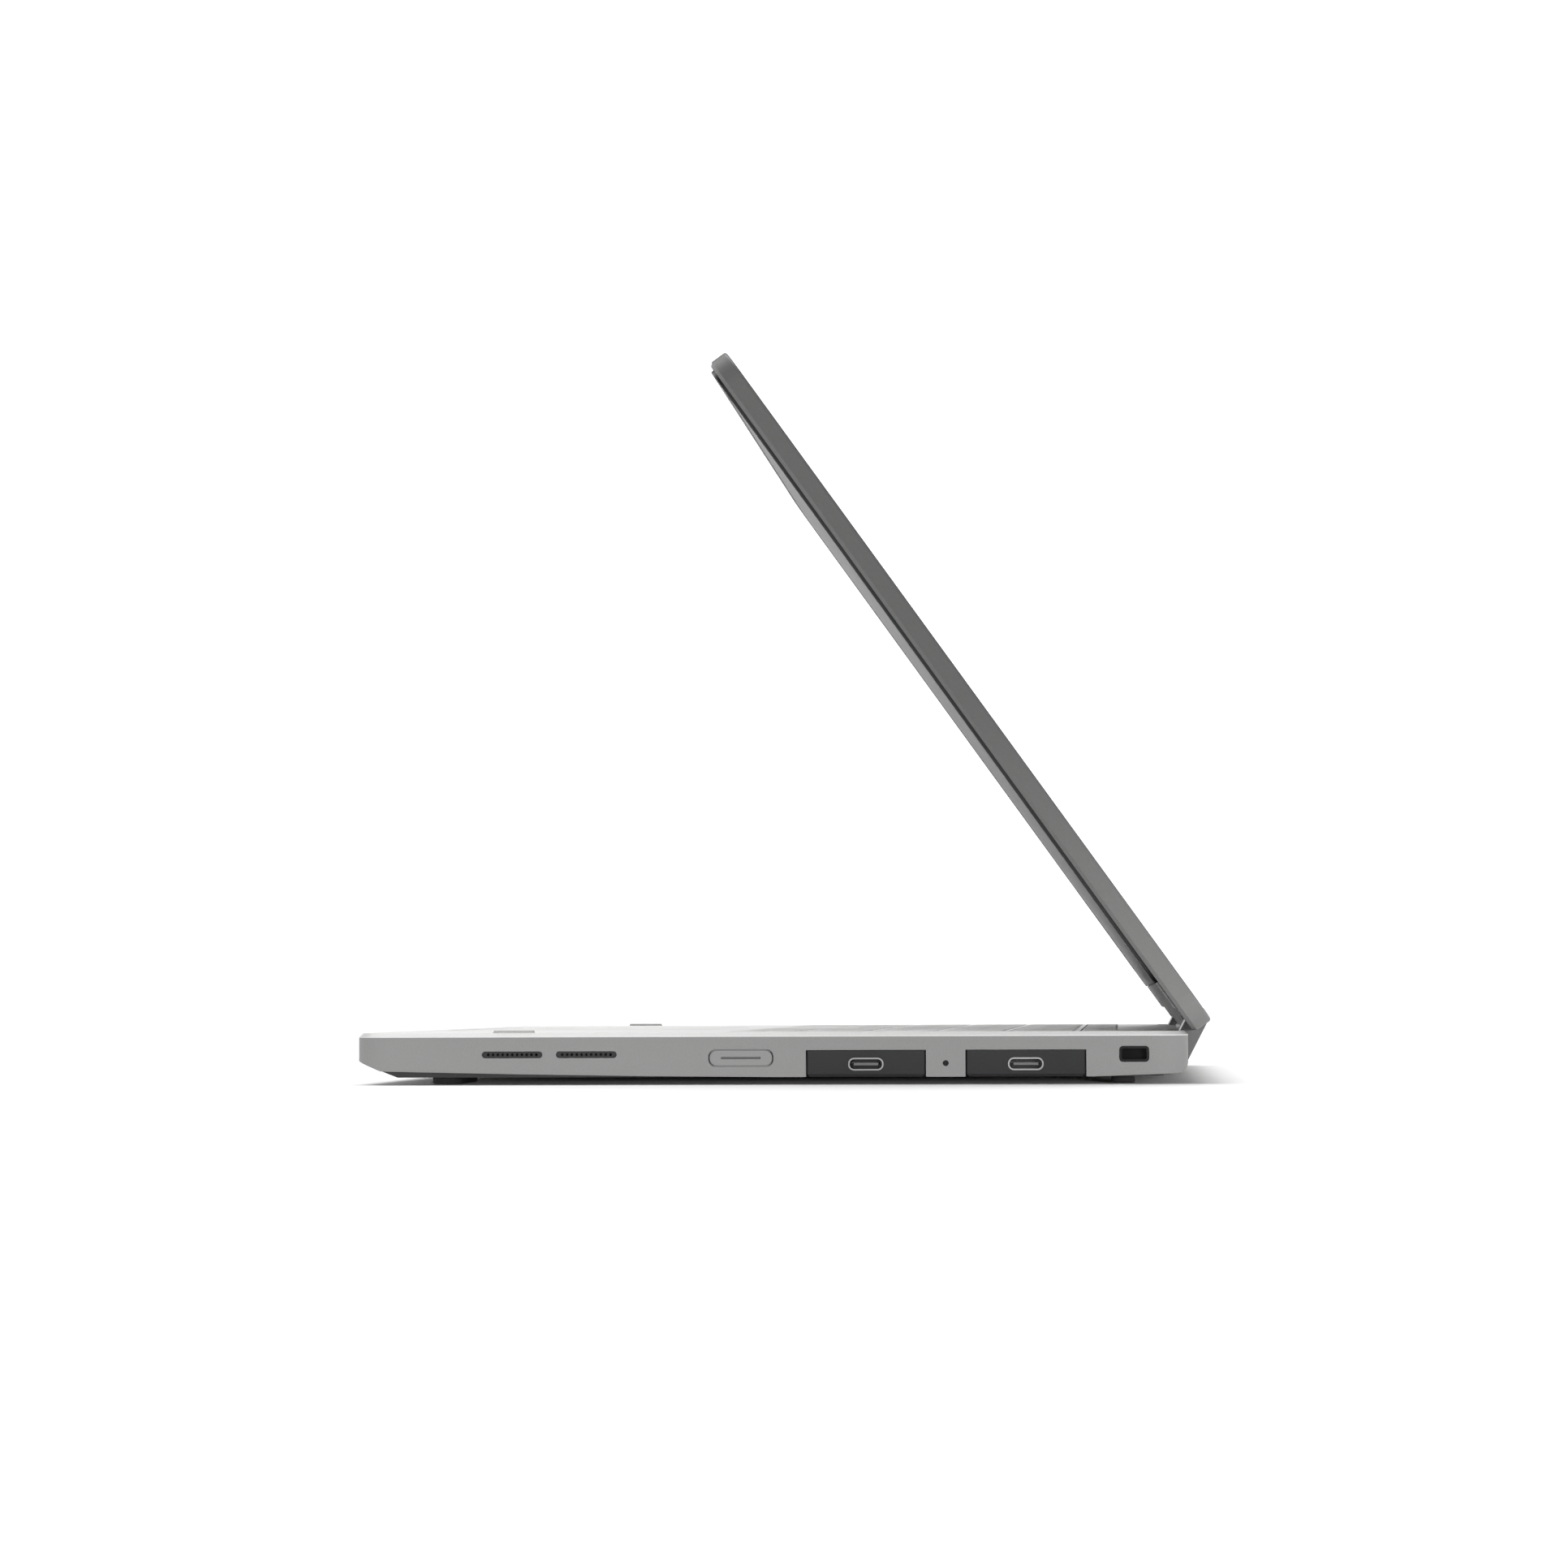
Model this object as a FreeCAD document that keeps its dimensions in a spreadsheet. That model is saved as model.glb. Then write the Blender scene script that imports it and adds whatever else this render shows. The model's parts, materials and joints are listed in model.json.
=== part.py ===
import FreeCAD, Part
import math
import os
import re

import Sketcher

# A convertible laptop computer: keyboard base, four port modules, two twin-axis hinges and a display lid.
# X runs to the right of someone at the keyboard, Y to the rear and Z up, in millimetres.
# The origin is under the middle of the part, on the surface that it stands on, with the lid part open.

# Driving dimensions: millimetres, and degrees where the name says angle
SIZES = {
    # Keys and the plan of the base that they give
    "key_pitch": 17.9,
    "key_gap": 2.0,
    "key_clearance": 0.4,
    "key_height": 2.2,
    "key_rise": 0.1,
    "key_travel": 1.3,
    "key_rest": 0.2,
    "key_corner": 1.2,
    "key_edge": 0.35,
    "arrow_split": 1.6,
    "function_row": 11.0,
    "side_margin": 9.25,
    "palm_rest": 94.2,
    "rear_margin": 16.9,
    # Shells of the base
    "foot_height": 1.9,
    "base_height": 11.3,
    "corner_radius": 9.0,
    "deck_thickness": 1.15,
    "edge_chamfer": 0.9,
    "wall": 1.6,
    "floor_thickness": 1.2,
    "shell_gap": 0.15,
    "rim_wall": 1.0,
    "rim_height": 2.9,
    "front_bevel_run": 11.2,
    "front_bevel_rise": 4.3,
    "front_lip": 7.0,
    "lip_thickness": 1.3,
    "skirt_run": 108.2,
    "skirt_sag": 0.25,
    "rear_bevel_run": 24.0,
    "rear_bevel_rise": 0.7,
    "rear_round": 3.0,
    "cover_bevel_run": 12.0,
    "post_radius": 2.5,
    "post_inset": 10.5,
    "screw_radius": 1.0,
    "screw_head_radius": 2.2,
    "screw_head": 0.7,
    "screw_grip": 5.0,
    "fit": 0.05,
    # Feet and bumpers
    "foot_length": 30.0,
    "front_foot_depth": 7.8,
    "front_foot_set": 17.8,
    "rear_foot_depth": 6.0,
    "rear_foot_set": 13.4,
    "foot_inset": 13.0,
    "foot_round": 0.6,
    "bumper_length": 10.7,
    "bumper_set": 35.8,
    "bumper_width": 0.9,
    "bumper_height": 0.6,
    "bumper_slope": 0.3,
    # Keyboard tray, touchpad and battery
    "tray_wall": 1.0,
    "tray_floor": 0.5,
    "tray_margin": 0.8,
    "pad_width": 112.0,
    "pad_front": 9.2,
    "pad_rear_margin": 11.0,
    "pad_corner": 4.0,
    "pad_gap": 0.35,
    "pad_thickness": 1.5,
    "pad_drop": 0.05,
    "pad_click": 0.5,
    "pivot_radius": 1.0,
    "pivot_pin": 0.5,
    "pivot_set": 1.5,
    "bracket_floor": 0.6,
    "bracket_wall": 1.2,
    "bracket_margin": 1.4,
    "bracket_space": 2.0,
    "battery_height": 5.6,
    "battery_margin": 3.0,
    "cell_groove": 0.6,
    # Speakers and their slots
    "slot_length": 15.5,
    "slot_height": 1.7,
    "slot_pitch": 18.95,
    "slot_set": 33.1,
    "slot_level": 5.75,
    "mesh_thickness": 0.6,
    "mesh_depth": 0.35,
    "mesh_pitch": 1.23,
    "mesh_hole": 0.36,
    "speaker_width": 14.0,
    "speaker_height": 6.4,
    "speaker_margin": 3.6,
    # Port modules
    "module_width": 30.0,
    "module_length": 32.0,
    "module_height": 6.6,
    "module_spacing": 10.2,
    "module_set": 25.7,
    "module_gap": 0.15,
    "module_corner": 0.8,
    "module_bevel": 0.7,
    "bay_wall": 1.5,
    "bay_roof": 0.4,
    "plug_width": 8.3,
    "plug_height": 2.4,
    "plug_length": 6.2,
    "plug_gap": 0.1,
    "socket_wall": 0.9,
    "usb_width": 8.94,
    "usb_height": 3.2,
    "usb_shell": 0.37,
    "usb_depth": 7.3,
    "usb_level": 3.2,
    "tongue_width": 6.2,
    "tongue_height": 0.65,
    "tongue_set": 0.8,
    # Side controls
    "button_length": 15.8,
    "button_height": 3.7,
    "button_gap": 0.35,
    "button_set": 8.7,
    "button_level": 4.8,
    "button_flange": 0.8,
    "button_travel": 0.45,
    "light_length": 10.0,
    "light_height": 0.5,
    "light_depth": 0.6,
    "switch_depth": 6.0,
    "status_radius": 0.7,
    "status_level": 3.4,
    "status_length": 7.0,
    "lock_width": 6.2,
    "lock_height": 2.7,
    "lock_frame": 0.6,
    "lock_corner": 0.9,
    "lock_depth": 6.0,
    "lock_floor": 1.0,
    "lock_set": 13.6,
    "lock_level": 5.6,
    "jack_bore": 1.8,
    "jack_collar": 2.9,
    "jack_length": 14.0,
    "jack_width": 7.2,
    "jack_height": 4.6,
    # Mainboard and cooling
    "board_thickness": 0.8,
    "board_lift": 0.8,
    "board_gap": 0.1,
    "standoff_radius": 2.5,
    "chip_width": 30.0,
    "chip_depth": 24.0,
    "chip_height": 1.2,
    "chip_left": 40.0,
    "plate_margin": 2.0,
    "plate_height": 1.2,
    "pipe_width": 8.0,
    "pipe_height": 1.6,
    "fan_size": 50.0,
    "fan_height": 5.0,
    "fan_left": 15.0,
    "fan_wall": 0.8,
    "fan_cover_height": 0.4,
    "fan_post": 1.0,
    "hub_radius": 9.0,
    "blade_reach": 21.5,
    "blade_thickness": 0.6,
    "blade_sweep": 35.0,
    "impeller_lift": 0.5,
    "impeller_height": 3.0,
    "inlet_radius": 16.0,
    "fin_depth": 10.0,
    "fin_thickness": 0.5,
    "fin_pitch": 2.5,
    "fin_gap": 1.0,
    "vent_width": 1.6,
    "vent_height": 4.0,
    "memory_width": 67.6,
    "memory_depth": 30.0,
    "memory_height": 3.0,
    "card_width": 22.0,
    "card_height": 2.4,
    "storage_length": 42.0,
    "wireless_length": 30.0,
    "card_margin": 2.5,
    # Hinges
    "lid_angle": 54.5,
    "hinge_inset": 2.0,
    "hinge_height": 5.2,
    "closed_gap": 1.2,
    "hinge_side": 19.5,
    "link_length": 24.0,
    "link_wall": 0.5,
    "link_end": 1.4,
    "link_play": 0.5,
    "liner": 1.2,
    "gear_room": 0.21,
    "gear_width": 3.0,
    "gear_set": 1.6,
    "gear_backlash": 0.12,
    "shaft_radius": 1.1,
    "shaft_reach": 15.0,
    "idler_pin": 0.6,
    "running": 0.05,
    "spring_thickness": 0.9,
    "spring_pitch": 1.4,
    "knuckle_wall": 0.55,
    "knuckle_skin": 0.3,
    "bracket_plate": 1.0,
    "bracket_reach": 16.0,
    # Lid
    "lid_thickness": 5.4,
    "lid_setback": 0.6,
    "lid_wall": 1.5,
    "lid_back": 1.0,
    "lid_round": 0.8,
    "bezel_proud": 0.9,
    "bezel_inset": 2.3,
    "bezel_top": 2.0,
    "bezel_foot": 15.8,
    "bezel_side": 5.2,
    "bezel_bar": 5.4,
    "bezel_chin": 6.2,
    "glass_gap": 0.1,
    "glass_thickness": 0.8,
    "glass_drop": 0.15,
    "panel_thickness": 2.4,
    "panel_margin": 1.5,
    "rail_width": 6.0,
    "rail_inset": 14.0,
    "hinge_cover": 0.8,
    "chin_proud": 0.6,
    "chin_foot": 7.7,
    "camera_width": 12.0,
    "camera_depth": 4.4,
    "camera_height": 3.4,
    "lens_radius": 1.5,
}

KEY_UNITS = 15
LETTER_ROWS = 5
GEAR_TEETH = 12
GEAR_STEPS = 3
PRESSURE_ANGLE = math.radians(25.0)
ADDENDUM_SHARE = 0.8
DEDENDUM_SHARE = 1.05
BLADES = 23
SPRING_DISCS = 6
INTAKE_SLOTS = 9
BATTERY_CELLS = 4

# Places and lengths that follow from the driving dimensions
PLACES = {
    "keyboard_half": f"{KEY_UNITS} * key_pitch / 2",
    "half_width": "keyboard_half + side_margin",
    "base_depth": f"palm_rest + {LETTER_ROWS} * key_pitch + function_row + rear_margin",
    "axis_gap": "base_height - hinge_height + closed_gap + lid_thickness / 2",
    "corner_turn": "sin(lid_angle) + cos(lid_angle)",
    "overhang": "axis_gap * sin(lid_angle / 2) - hinge_inset + hinge_inset * cos(lid_angle)"
                " + lid_thickness / 2 * sin(lid_angle) - lid_round * (corner_turn - 1)",
    "front_y": "-(base_depth + overhang) / 2",
    "rear_y": "front_y + base_depth",
    "middle_y": "front_y + base_depth / 2",
    "bottom_z": "foot_height",
    "floor_z": "bottom_z + floor_thickness",
    "deck_z": "bottom_z + base_height",
    "deck_under": "deck_z - deck_thickness",
    "inner_x": "half_width - wall",
    "rim_x": "inner_x - shell_gap - rim_wall",
    "rim_z": "bottom_z + rim_height",
    "keys_front": "front_y + palm_rest",
    "function_front": f"keys_front + {LETTER_ROWS} * key_pitch",
    "keys_rear": "function_front + function_row",
    "cap_top": "deck_z + key_rise",
    "cap_foot": "cap_top - key_height",
    "tray_z": "cap_foot - key_travel - key_rest",
    "tray_x": "keyboard_half + tray_margin + tray_wall",
    "tray_front": "keys_front - tray_margin - tray_wall",
    "tray_rear": "keys_rear + tray_margin + tray_wall",
    "pad_y": "front_y + pad_front",
    "pad_depth": "palm_rest - pad_front - pad_rear_margin",
    "pad_rear": "pad_y + pad_depth",
    "pad_top": "deck_z - pad_drop",
    "pad_under": "pad_top - pad_thickness",
    "pivot_y": "pad_rear - pivot_set",
    "pivot_z": "pad_under - pivot_radius",
    "bracket_z": "pad_under - bracket_space",
    "rear_module": "rear_y - module_set - module_width",
    "front_module": "rear_module - module_spacing - module_width",
    "module_z": "bottom_z + module_height",
    "module_x": "half_width - module_length",
    "usb_z": "bottom_z + usb_level",
    "bay_front": "front_module - module_gap - bay_wall",
    "bay_rear": "rear_module + module_width + module_gap + bay_wall",
    "bay_roof_z": "module_z + module_gap",
    "socket_x": "module_x - 2 * module_gap",
    "socket_end": "socket_x - plug_length - socket_wall",
    "button_y": "front_module - button_set - button_length / 2",
    "button_z": "bottom_z + button_level",
    "status_y": "rear_module - module_spacing / 2",
    "status_z": "bottom_z + status_level",
    "lock_y": "rear_y - lock_set",
    "lock_z": "bottom_z + lock_level",
    "slot_z": "bottom_z + slot_level",
    "slots_front": "front_y + slot_set",
    "slots_rear": "slots_front + slot_pitch + slot_length",
    "speaker_x": "rim_x - shell_gap - speaker_width",
    "board_z": "floor_z + board_lift",
    "board_top": "board_z + board_thickness",
    "board_x": "socket_end - board_gap",
    "chip_y": "bay_front + chip_depth + 2 * card_margin",
    "chip_top": "board_top + chip_height",
    "pipe_z": "chip_top + plate_height",
    "pipe_x": "-chip_left - pipe_width / 2",
    "fan_x": "fan_left + fan_size / 2",
    "fan_y": "bay_rear - fan_size / 2",
    "fan_top": "floor_z + fan_height",
    "fins_front": "bay_rear + fin_gap",
    "fins_rear": "fins_front + fin_depth",
    "axis_y": "rear_y - hinge_inset",
    "axis_z": "bottom_z + hinge_height",
    "lid_axis_y": "axis_y + axis_gap * sin(lid_angle / 2)",
    "lid_axis_z": "axis_z + axis_gap * cos(lid_angle / 2)",
    "gear_radius": f"axis_gap / {2 * GEAR_STEPS}",
    "gear_tip": f"gear_radius * (1 + {2 * ADDENDUM_SHARE / GEAR_TEETH})",
    "link_bore": "gear_tip + gear_room",
    "link_radius": "link_bore + link_wall",
    "link_outer": "half_width - hinge_side",
    "link_inner": "link_outer - link_length",
    "notch_inner": "link_inner - link_play",
    "notch_outer": "link_outer + link_play",
    "notch_reach": "link_radius + link_play",
    "knuckle_radius": "shaft_radius + knuckle_wall",
    "knuckle_outer": "notch_inner - liner - link_play",
    "knuckle_inner": "link_inner - shaft_reach",
    "lid_foot": "hinge_inset",
    "lid_top": "hinge_inset + lid_setback - base_depth",
    "lid_middle": "(lid_foot + lid_top) / 2",
    "rim_plane": "-lid_thickness / 2",
    "back_plane": "lid_thickness / 2 - lid_back",
    "bezel_x": "half_width - bezel_inset",
    "bezel_y": "lid_top + bezel_top",
    "bezel_end": "lid_foot - bezel_foot",
    "bezel_front": "rim_plane - bezel_proud",
    "opening_x": "bezel_x - bezel_side",
    "opening_y": "bezel_y + bezel_bar",
    "opening_end": "bezel_end - bezel_chin",
    "glass_front": "bezel_front + glass_drop",
    "glass_rear": "glass_front + glass_thickness",
    "panel_front": "glass_rear + fit",
    "panel_rear": "panel_front + panel_thickness",
    "camera_y": "bezel_y + bezel_bar / 2",
    "chin_end": "lid_foot - chin_foot",
}

ALONG_X = FreeCAD.Rotation(FreeCAD.Vector(0, 1, 0), 90)
FACING_X = FreeCAD.Rotation(FreeCAD.Vector(1, 1, 1), 120)
SIDES = {"right": 1, "left": -1}
WORD = re.compile(r"[a-z][a-z0-9_]*")
TINY = 1e-3
# How far a cutting tool runs past the face that it opens
PAST = "1"

doc = FreeCAD.newDocument("laptop")
nodes = {}


def formula(text):
    """Write each named size or place as a reference to its cell."""
    def reference(match):
        word = match.group()
        if word in SIZES:
            return "Sizes." + word
        return "Places." + word if word in PLACES else word
    return WORD.sub(reference, text)


def make_sheet(name, cells, write):
    sheet = doc.addObject("Spreadsheet::Sheet", name)
    for row, (alias, content) in enumerate(cells.items(), start=1):
        sheet.set(f"A{row}", alias)
        sheet.set(f"B{row}", write(content))
        sheet.setAlias(f"B{row}", alias)
    doc.recompute()
    return sheet


make_sheet("Sizes", SIZES, str)
places = make_sheet("Places", PLACES, lambda text: "=" + formula(text))


def number(text):
    return float(places.evalExpression(formula(text)))


def bind(piece, prop, text):
    piece.setExpression(prop, formula(text))


def turned_place(y, z, angle):
    """A placement on the hinge side: turned about X and moved to an axis."""
    spot = f"create(<<vector>>; 0; {y}; {z})"
    turn = f"create(<<rotation>>; create(<<vector>>; 1; 0; 0); {angle})"
    return f"create(<<placement>>; {spot}; {turn})"


LID_PLACE = turned_place("lid_axis_y", "lid_axis_z", "-lid_angle")
LINK_PLACE = turned_place("axis_y", "axis_z", "-lid_angle / 2")


def across(side, low, high):
    """A stretch along X as it lies on the right-hand side, or mirrored to the left."""
    return (low, high) if side > 0 else (f"-({high})", f"-({low})")


def centred(text):
    return (f"-({text})", text)


def box(name, x, y, z):
    piece = doc.addObject("Part::Box", name)
    for size, axis, (low, high) in (("Length", "x", x), ("Width", "y", y), ("Height", "z", z)):
        bind(piece, size, f"({high}) - ({low})")
        bind(piece, f"Placement.Base.{axis}", low)
    return piece


def cylinder(name, radius, low, high, spot):
    piece = doc.addObject("Part::Cylinder", name)
    bind(piece, "Radius", radius)
    bind(piece, "Height", f"({high}) - ({low})")
    for axis, text in spot.items():
        bind(piece, f"Placement.Base.{axis}", text)
    return piece


def rod(name, x, y, z, radius):
    """A round bar along X."""
    piece = cylinder(name, radius, *x, {"x": x[0], "y": y, "z": z})
    piece.Placement.Rotation = ALONG_X
    return piece


def post(name, x, y, z, radius):
    """A round bar along Z."""
    return cylinder(name, radius, *z, {"x": x, "y": y, "z": z[0]})


def gather(name, kind, prop, pieces):
    result = doc.addObject(kind, name)
    setattr(result, prop, pieces)
    return result


def group(name, pieces):
    return gather(name, "Part::Compound", "Links", pieces)


def fuse(name, pieces):
    result = gather(name, "Part::MultiFuse", "Shapes", pieces)
    result.Refine = True
    return result


def common(name, pieces):
    return gather(name, "Part::MultiCommon", "Shapes", pieces)


def cut(name, base, tools):
    result = doc.addObject("Part::Cut", name)
    result.Base = base
    result.Tool = tools[0] if len(tools) == 1 else fuse(name + "_tools", tools)
    result.Refine = False
    return result


def shape_edges(name, kind, base, rules):
    """Round or bevel the edges that each rule picks, by the size that it names."""
    doc.recompute()
    bounds = base.Shape.BoundBox
    edges = []
    for index, edge in enumerate(base.Shape.Edges, start=1):
        for picks, size in rules:
            if picks(edge.BoundBox, bounds):
                edges.append((index, number(size), number(size)))
                break
    result = doc.addObject(kind, name)
    result.Base = base
    result.Edges = edges
    return result


def fillet(name, base, rules):
    return shape_edges(name, "Part::Fillet", base, rules)


def chamfer(name, base, rules):
    return shape_edges(name, "Part::Chamfer", base, rules)


def upright(edge, _bounds):
    return edge.ZLength > TINY and edge.XLength < TINY and edge.YLength < TINY


def on_top(edge, bounds):
    return edge.ZMin > bounds.ZMax - TINY


def underneath(edge, bounds):
    return edge.ZMax < bounds.ZMin + TINY


def new_sketch(body, name):
    sketch = body.newObject("Sketcher::SketchObject", name)
    plane = [item for item in body.Origin.OriginFeatures if item.Role == "XY_Plane"][0]
    sketch.AttachmentSupport = [(plane, "")]
    sketch.MapMode = "FlatFace"
    return sketch


def pin_point(sketch, geometry, end, spot):
    for kind, text in zip(("DistanceX", "DistanceY"), spot):
        index = sketch.addConstraint(Sketcher.Constraint(kind, -1, 1, geometry, end, number(text)))
        sketch.setExpression(f"Constraints[{index}]", formula(text))


def arc_through(start, via, end):
    """An arc turning to the left from its first end, and whether that end is the start."""
    circle = Part.Circle(start, via, end)
    leftward = (end - start).cross(via - start).z < 0
    first, last = (start, end) if leftward else (end, start)
    angles = [math.atan2(spot.y - circle.Center.y, spot.x - circle.Center.x) for spot in (first, last)]
    if angles[1] < angles[0]:
        angles[1] += 2 * math.pi
    round_line = Part.Circle(circle.Center, FreeCAD.Vector(0, 0, 1), circle.Radius)
    return Part.ArcOfCircle(round_line, *angles), leftward


def draw_outline(sketch, corners, vias):
    """A closed outline through its corners, with an arc through a via point where a side has one."""
    def vector(spot):
        return FreeCAD.Vector(number(spot[0]), number(spot[1]), 0)

    ends = []
    for index, corner in enumerate(corners):
        start, end = vector(corner), vector(corners[(index + 1) % len(corners)])
        if index in vias:
            arc, forward = arc_through(start, vector(vias[index]), end)
            line = sketch.addGeometry(arc, False)
            mark = sketch.addGeometry(Part.Point(vector(vias[index])), True)
            sketch.addConstraint(Sketcher.Constraint("PointOnObject", mark, 1, line))
            pin_point(sketch, mark, 1, vias[index])
        else:
            line = sketch.addGeometry(Part.LineSegment(start, end), False)
            forward = True
        ends.append((line, 1, 2) if forward else (line, 2, 1))
    for index, (line, start, end) in enumerate(ends):
        following, first, _last = ends[(index + 1) % len(ends)]
        sketch.addConstraint(Sketcher.Constraint("Coincident", line, end, following, first))
        pin_point(sketch, line, start, corners[index])


def padded_body(name, corners, vias, length, spot, rotation):
    """A body padded from one outline, standing at a spot with its own turn."""
    body = doc.addObject("PartDesign::Body", name)
    sketch = new_sketch(body, name + "_outline")
    draw_outline(sketch, corners, vias)
    pad = body.newObject("PartDesign::Pad", name + "_pad")
    pad.Profile = sketch
    bind(pad, "Length", length)
    body.Placement.Rotation = rotation
    for axis, text in zip("xyz", spot):
        bind(body, f"Placement.Base.{axis}", text)
    return body


def rounded_outline(width, height, radius):
    """Corners and arc points of a rectangle with round corners about its middle."""
    outer = (f"({width}) / 2", f"({height}) / 2")
    inner = (f"(({width}) / 2 - ({radius}))", f"(({height}) / 2 - ({radius}))")
    bulge = f"({radius}) * sin(45)"
    corners = []
    vias = {}
    for right, top in ((1, -1), (1, 1), (-1, 1), (-1, -1)):
        on_side = (f"{right} * {outer[0]}", f"{top} * {inner[1]}")
        on_end = (f"{right} * {inner[0]}", f"{top} * {outer[1]}")
        vias[len(corners)] = (f"{right} * ({inner[0]} + {bulge})", f"{top} * ({inner[1]} + {bulge})")
        corners += [on_end, on_side] if right * top < 0 else [on_side, on_end]
    return corners, vias


def plate(name, size, radius, centre, z):
    """A flat piece with round corners in plan."""
    corners, vias = rounded_outline(*size, radius)
    spot = (*centre, z[0])
    return padded_body(name, corners, vias, f"({z[1]}) - ({z[0]})", spot, FreeCAD.Rotation())


def pill(name, size, radius, centre, x):
    """A piece with round corners as seen from the side, running along X."""
    corners, vias = rounded_outline(*size, radius)
    return padded_body(name, corners, vias, f"({x[1]}) - ({x[0]})", (x[0], *centre), FACING_X)


def side_profile(name, corners, vias, x):
    """A piece drawn in the plane of Y and Z and padded along X."""
    return padded_body(name, corners, vias, f"({x[1]}) - ({x[0]})", (x[0], "0", "0"), FACING_X)


def node(label, piece, place=None):
    """Keep a finished sub-part under its own name, set at its place."""
    if place or piece.TypeId == "PartDesign::Body":
        piece = group(label + "_piece", [piece])
    if place:
        bind(piece, "Placement", place)
    piece.Label = label
    nodes[label] = piece


# Keyboard layout: left edge, width in key units and front and rear edge of each key
def row_keys(front, depth, widths):
    left = 0.0
    rear = f"{front} + {depth} - key_gap / 2"
    for width in widths:
        yield left, width, f"{front} + key_gap / 2", rear
        left += width


def arrow_keys(left):
    """Two half-depth keys, one behind the other."""
    front = "keys_front + key_gap / 2"
    rear = "keys_front + key_pitch - key_gap / 2"
    middle = "keys_front + key_pitch / 2"
    yield left, 1.0, front, f"{middle} - arrow_split / 2"
    yield left, 1.0, f"{middle} + arrow_split / 2", rear


def letter_row(number_from_front, widths):
    return list(row_keys(f"keys_front + {number_from_front} * key_pitch", "key_pitch", widths))


def keyboard_rows():
    front_row = letter_row(0, [1.0] * 4 + [6.0] + [1.0] * 5)
    space = front_row.pop(4)
    up_down = front_row.pop(-2)
    return {
        "space_bar": [space],
        "bottom_keys": front_row + list(arrow_keys(up_down[0])),
        "lower_letter_keys": letter_row(1, [2.25] + [1.0] * 10 + [2.75]),
        "home_keys": letter_row(2, [1.75] + [1.0] * 11 + [2.25]),
        "upper_letter_keys": letter_row(3, [1.5] + [1.0] * 12 + [1.5]),
        "number_keys": letter_row(4, [1.0] * 13 + [2.0]),
        "function_keys": list(row_keys("function_front", "function_row", [KEY_UNITS / 14] * 14)),
    }


def key_box(name, key, grow, z):
    left, width, front, rear = key
    low = f"{left} * key_pitch - keyboard_half + key_gap / 2 - {grow}"
    high = f"{left + width} * key_pitch - keyboard_half - key_gap / 2 + {grow}"
    return box(name, (low, high), (f"{front} - {grow}", f"{rear} + {grow}"), z)


def make_keys(rows):
    for label, keys in rows.items():
        caps = [key_box(f"{label}_cap", key, "0", ("cap_foot", "cap_top")) for key in keys]
        row = group(label + "_caps", caps)
        node(label, fillet(label + "_rounded", row, [(upright, "key_corner"), (on_top, "key_edge")]))


# Outer shape of the base
def base_block(name, inset, z):
    size = (f"2 * (half_width - ({inset}))", f"base_depth - 2 * ({inset})")
    return plate(name, size, f"corner_radius - ({inset})", ("0", "middle_y"), z)


def hinge_notches(name, z):
    """Room for the two hinge links at the rear edge of the base."""
    return [box(f"{name}_{word}", across(side, "notch_inner", "notch_outer"),
                ("axis_y - notch_reach", f"rear_y + {PAST}"), z) for word, side in SIDES.items()]


def post_spots():
    """Where the deck stands on the bottom cover, a screw in each."""
    corner_x = "half_width - post_inset"
    for side in SIDES.values():
        yield f"{side} * ({corner_x})", "front_y + corner_radius + post_radius * 2"
        yield f"{side} * (speaker_x - post_radius * 2)", "tray_front - post_radius * 2"
        yield f"{side} * ({corner_x})", "rear_y - wall - post_radius * 2.7"
        yield f"{side} * (knuckle_inner - post_radius * 2)", "rear_y - wall - post_radius * 2.7"


def make_deck(rows):
    block = chamfer("deck_block", base_block("deck_plate", "0", ("deck_under", "deck_z")),
                    [(on_top, "edge_chamfer")])
    through = (f"deck_under - {PAST}", f"deck_z + {PAST}")
    holes = [key_box("key_hole", key, "key_clearance", through) for keys in rows.values() for key in keys]
    key_holes = fillet("key_holes", group("key_hole_boxes", holes), [(upright, "key_corner")])
    pad_hole = plate("pad_hole", ("pad_width + 2 * pad_gap", "pad_depth + 2 * pad_gap"),
                     "pad_corner + pad_gap",
                     ("0", "pad_y + pad_depth / 2"), through)
    opened = cut("deck_opened", block, [pad_hole] + hinge_notches("deck_notch", through))
    pierced = cut("deck_pierced", opened, [key_holes])
    posts = [post("deck_post", x, y, ("floor_z", "deck_under"), "post_radius") for x, y in post_spots()]
    bores = [post("deck_bore", x, y, (f"floor_z - {PAST}", "floor_z + screw_grip"), "screw_radius + fit")
             for x, y in post_spots()]
    node("deck", cut("deck_bored", fuse("deck_posts", [pierced] + posts), bores))


def skirt_profile():
    """Side outline of the frame: front bevel, long sweep down to the bottom plane, rear bevel and round."""
    lip_z = "bottom_z + front_bevel_rise * (1 - front_lip / front_bevel_run)"
    bevel_z = "bottom_z + rear_bevel_rise"
    bulge = "rear_round * (1 - sin(45))"
    corners = [
        ("front_y", "deck_under"),
        ("front_y", "bottom_z + front_bevel_rise"),
        ("front_y + front_lip", lip_z),
        ("front_y + skirt_run", "bottom_z"),
        ("rear_y - rear_bevel_run", "bottom_z"),
        ("rear_y - rear_round", bevel_z),
        ("rear_y", f"{bevel_z} + rear_round"),
        ("rear_y", "deck_under"),
    ]
    vias = {
        2: ("front_y + (front_lip + skirt_run) / 2", f"(({lip_z}) + bottom_z) / 2 - skirt_sag"),
        5: (f"rear_y - {bulge}", f"{bevel_z} + {bulge}"),
    }
    return corners, vias


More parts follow.
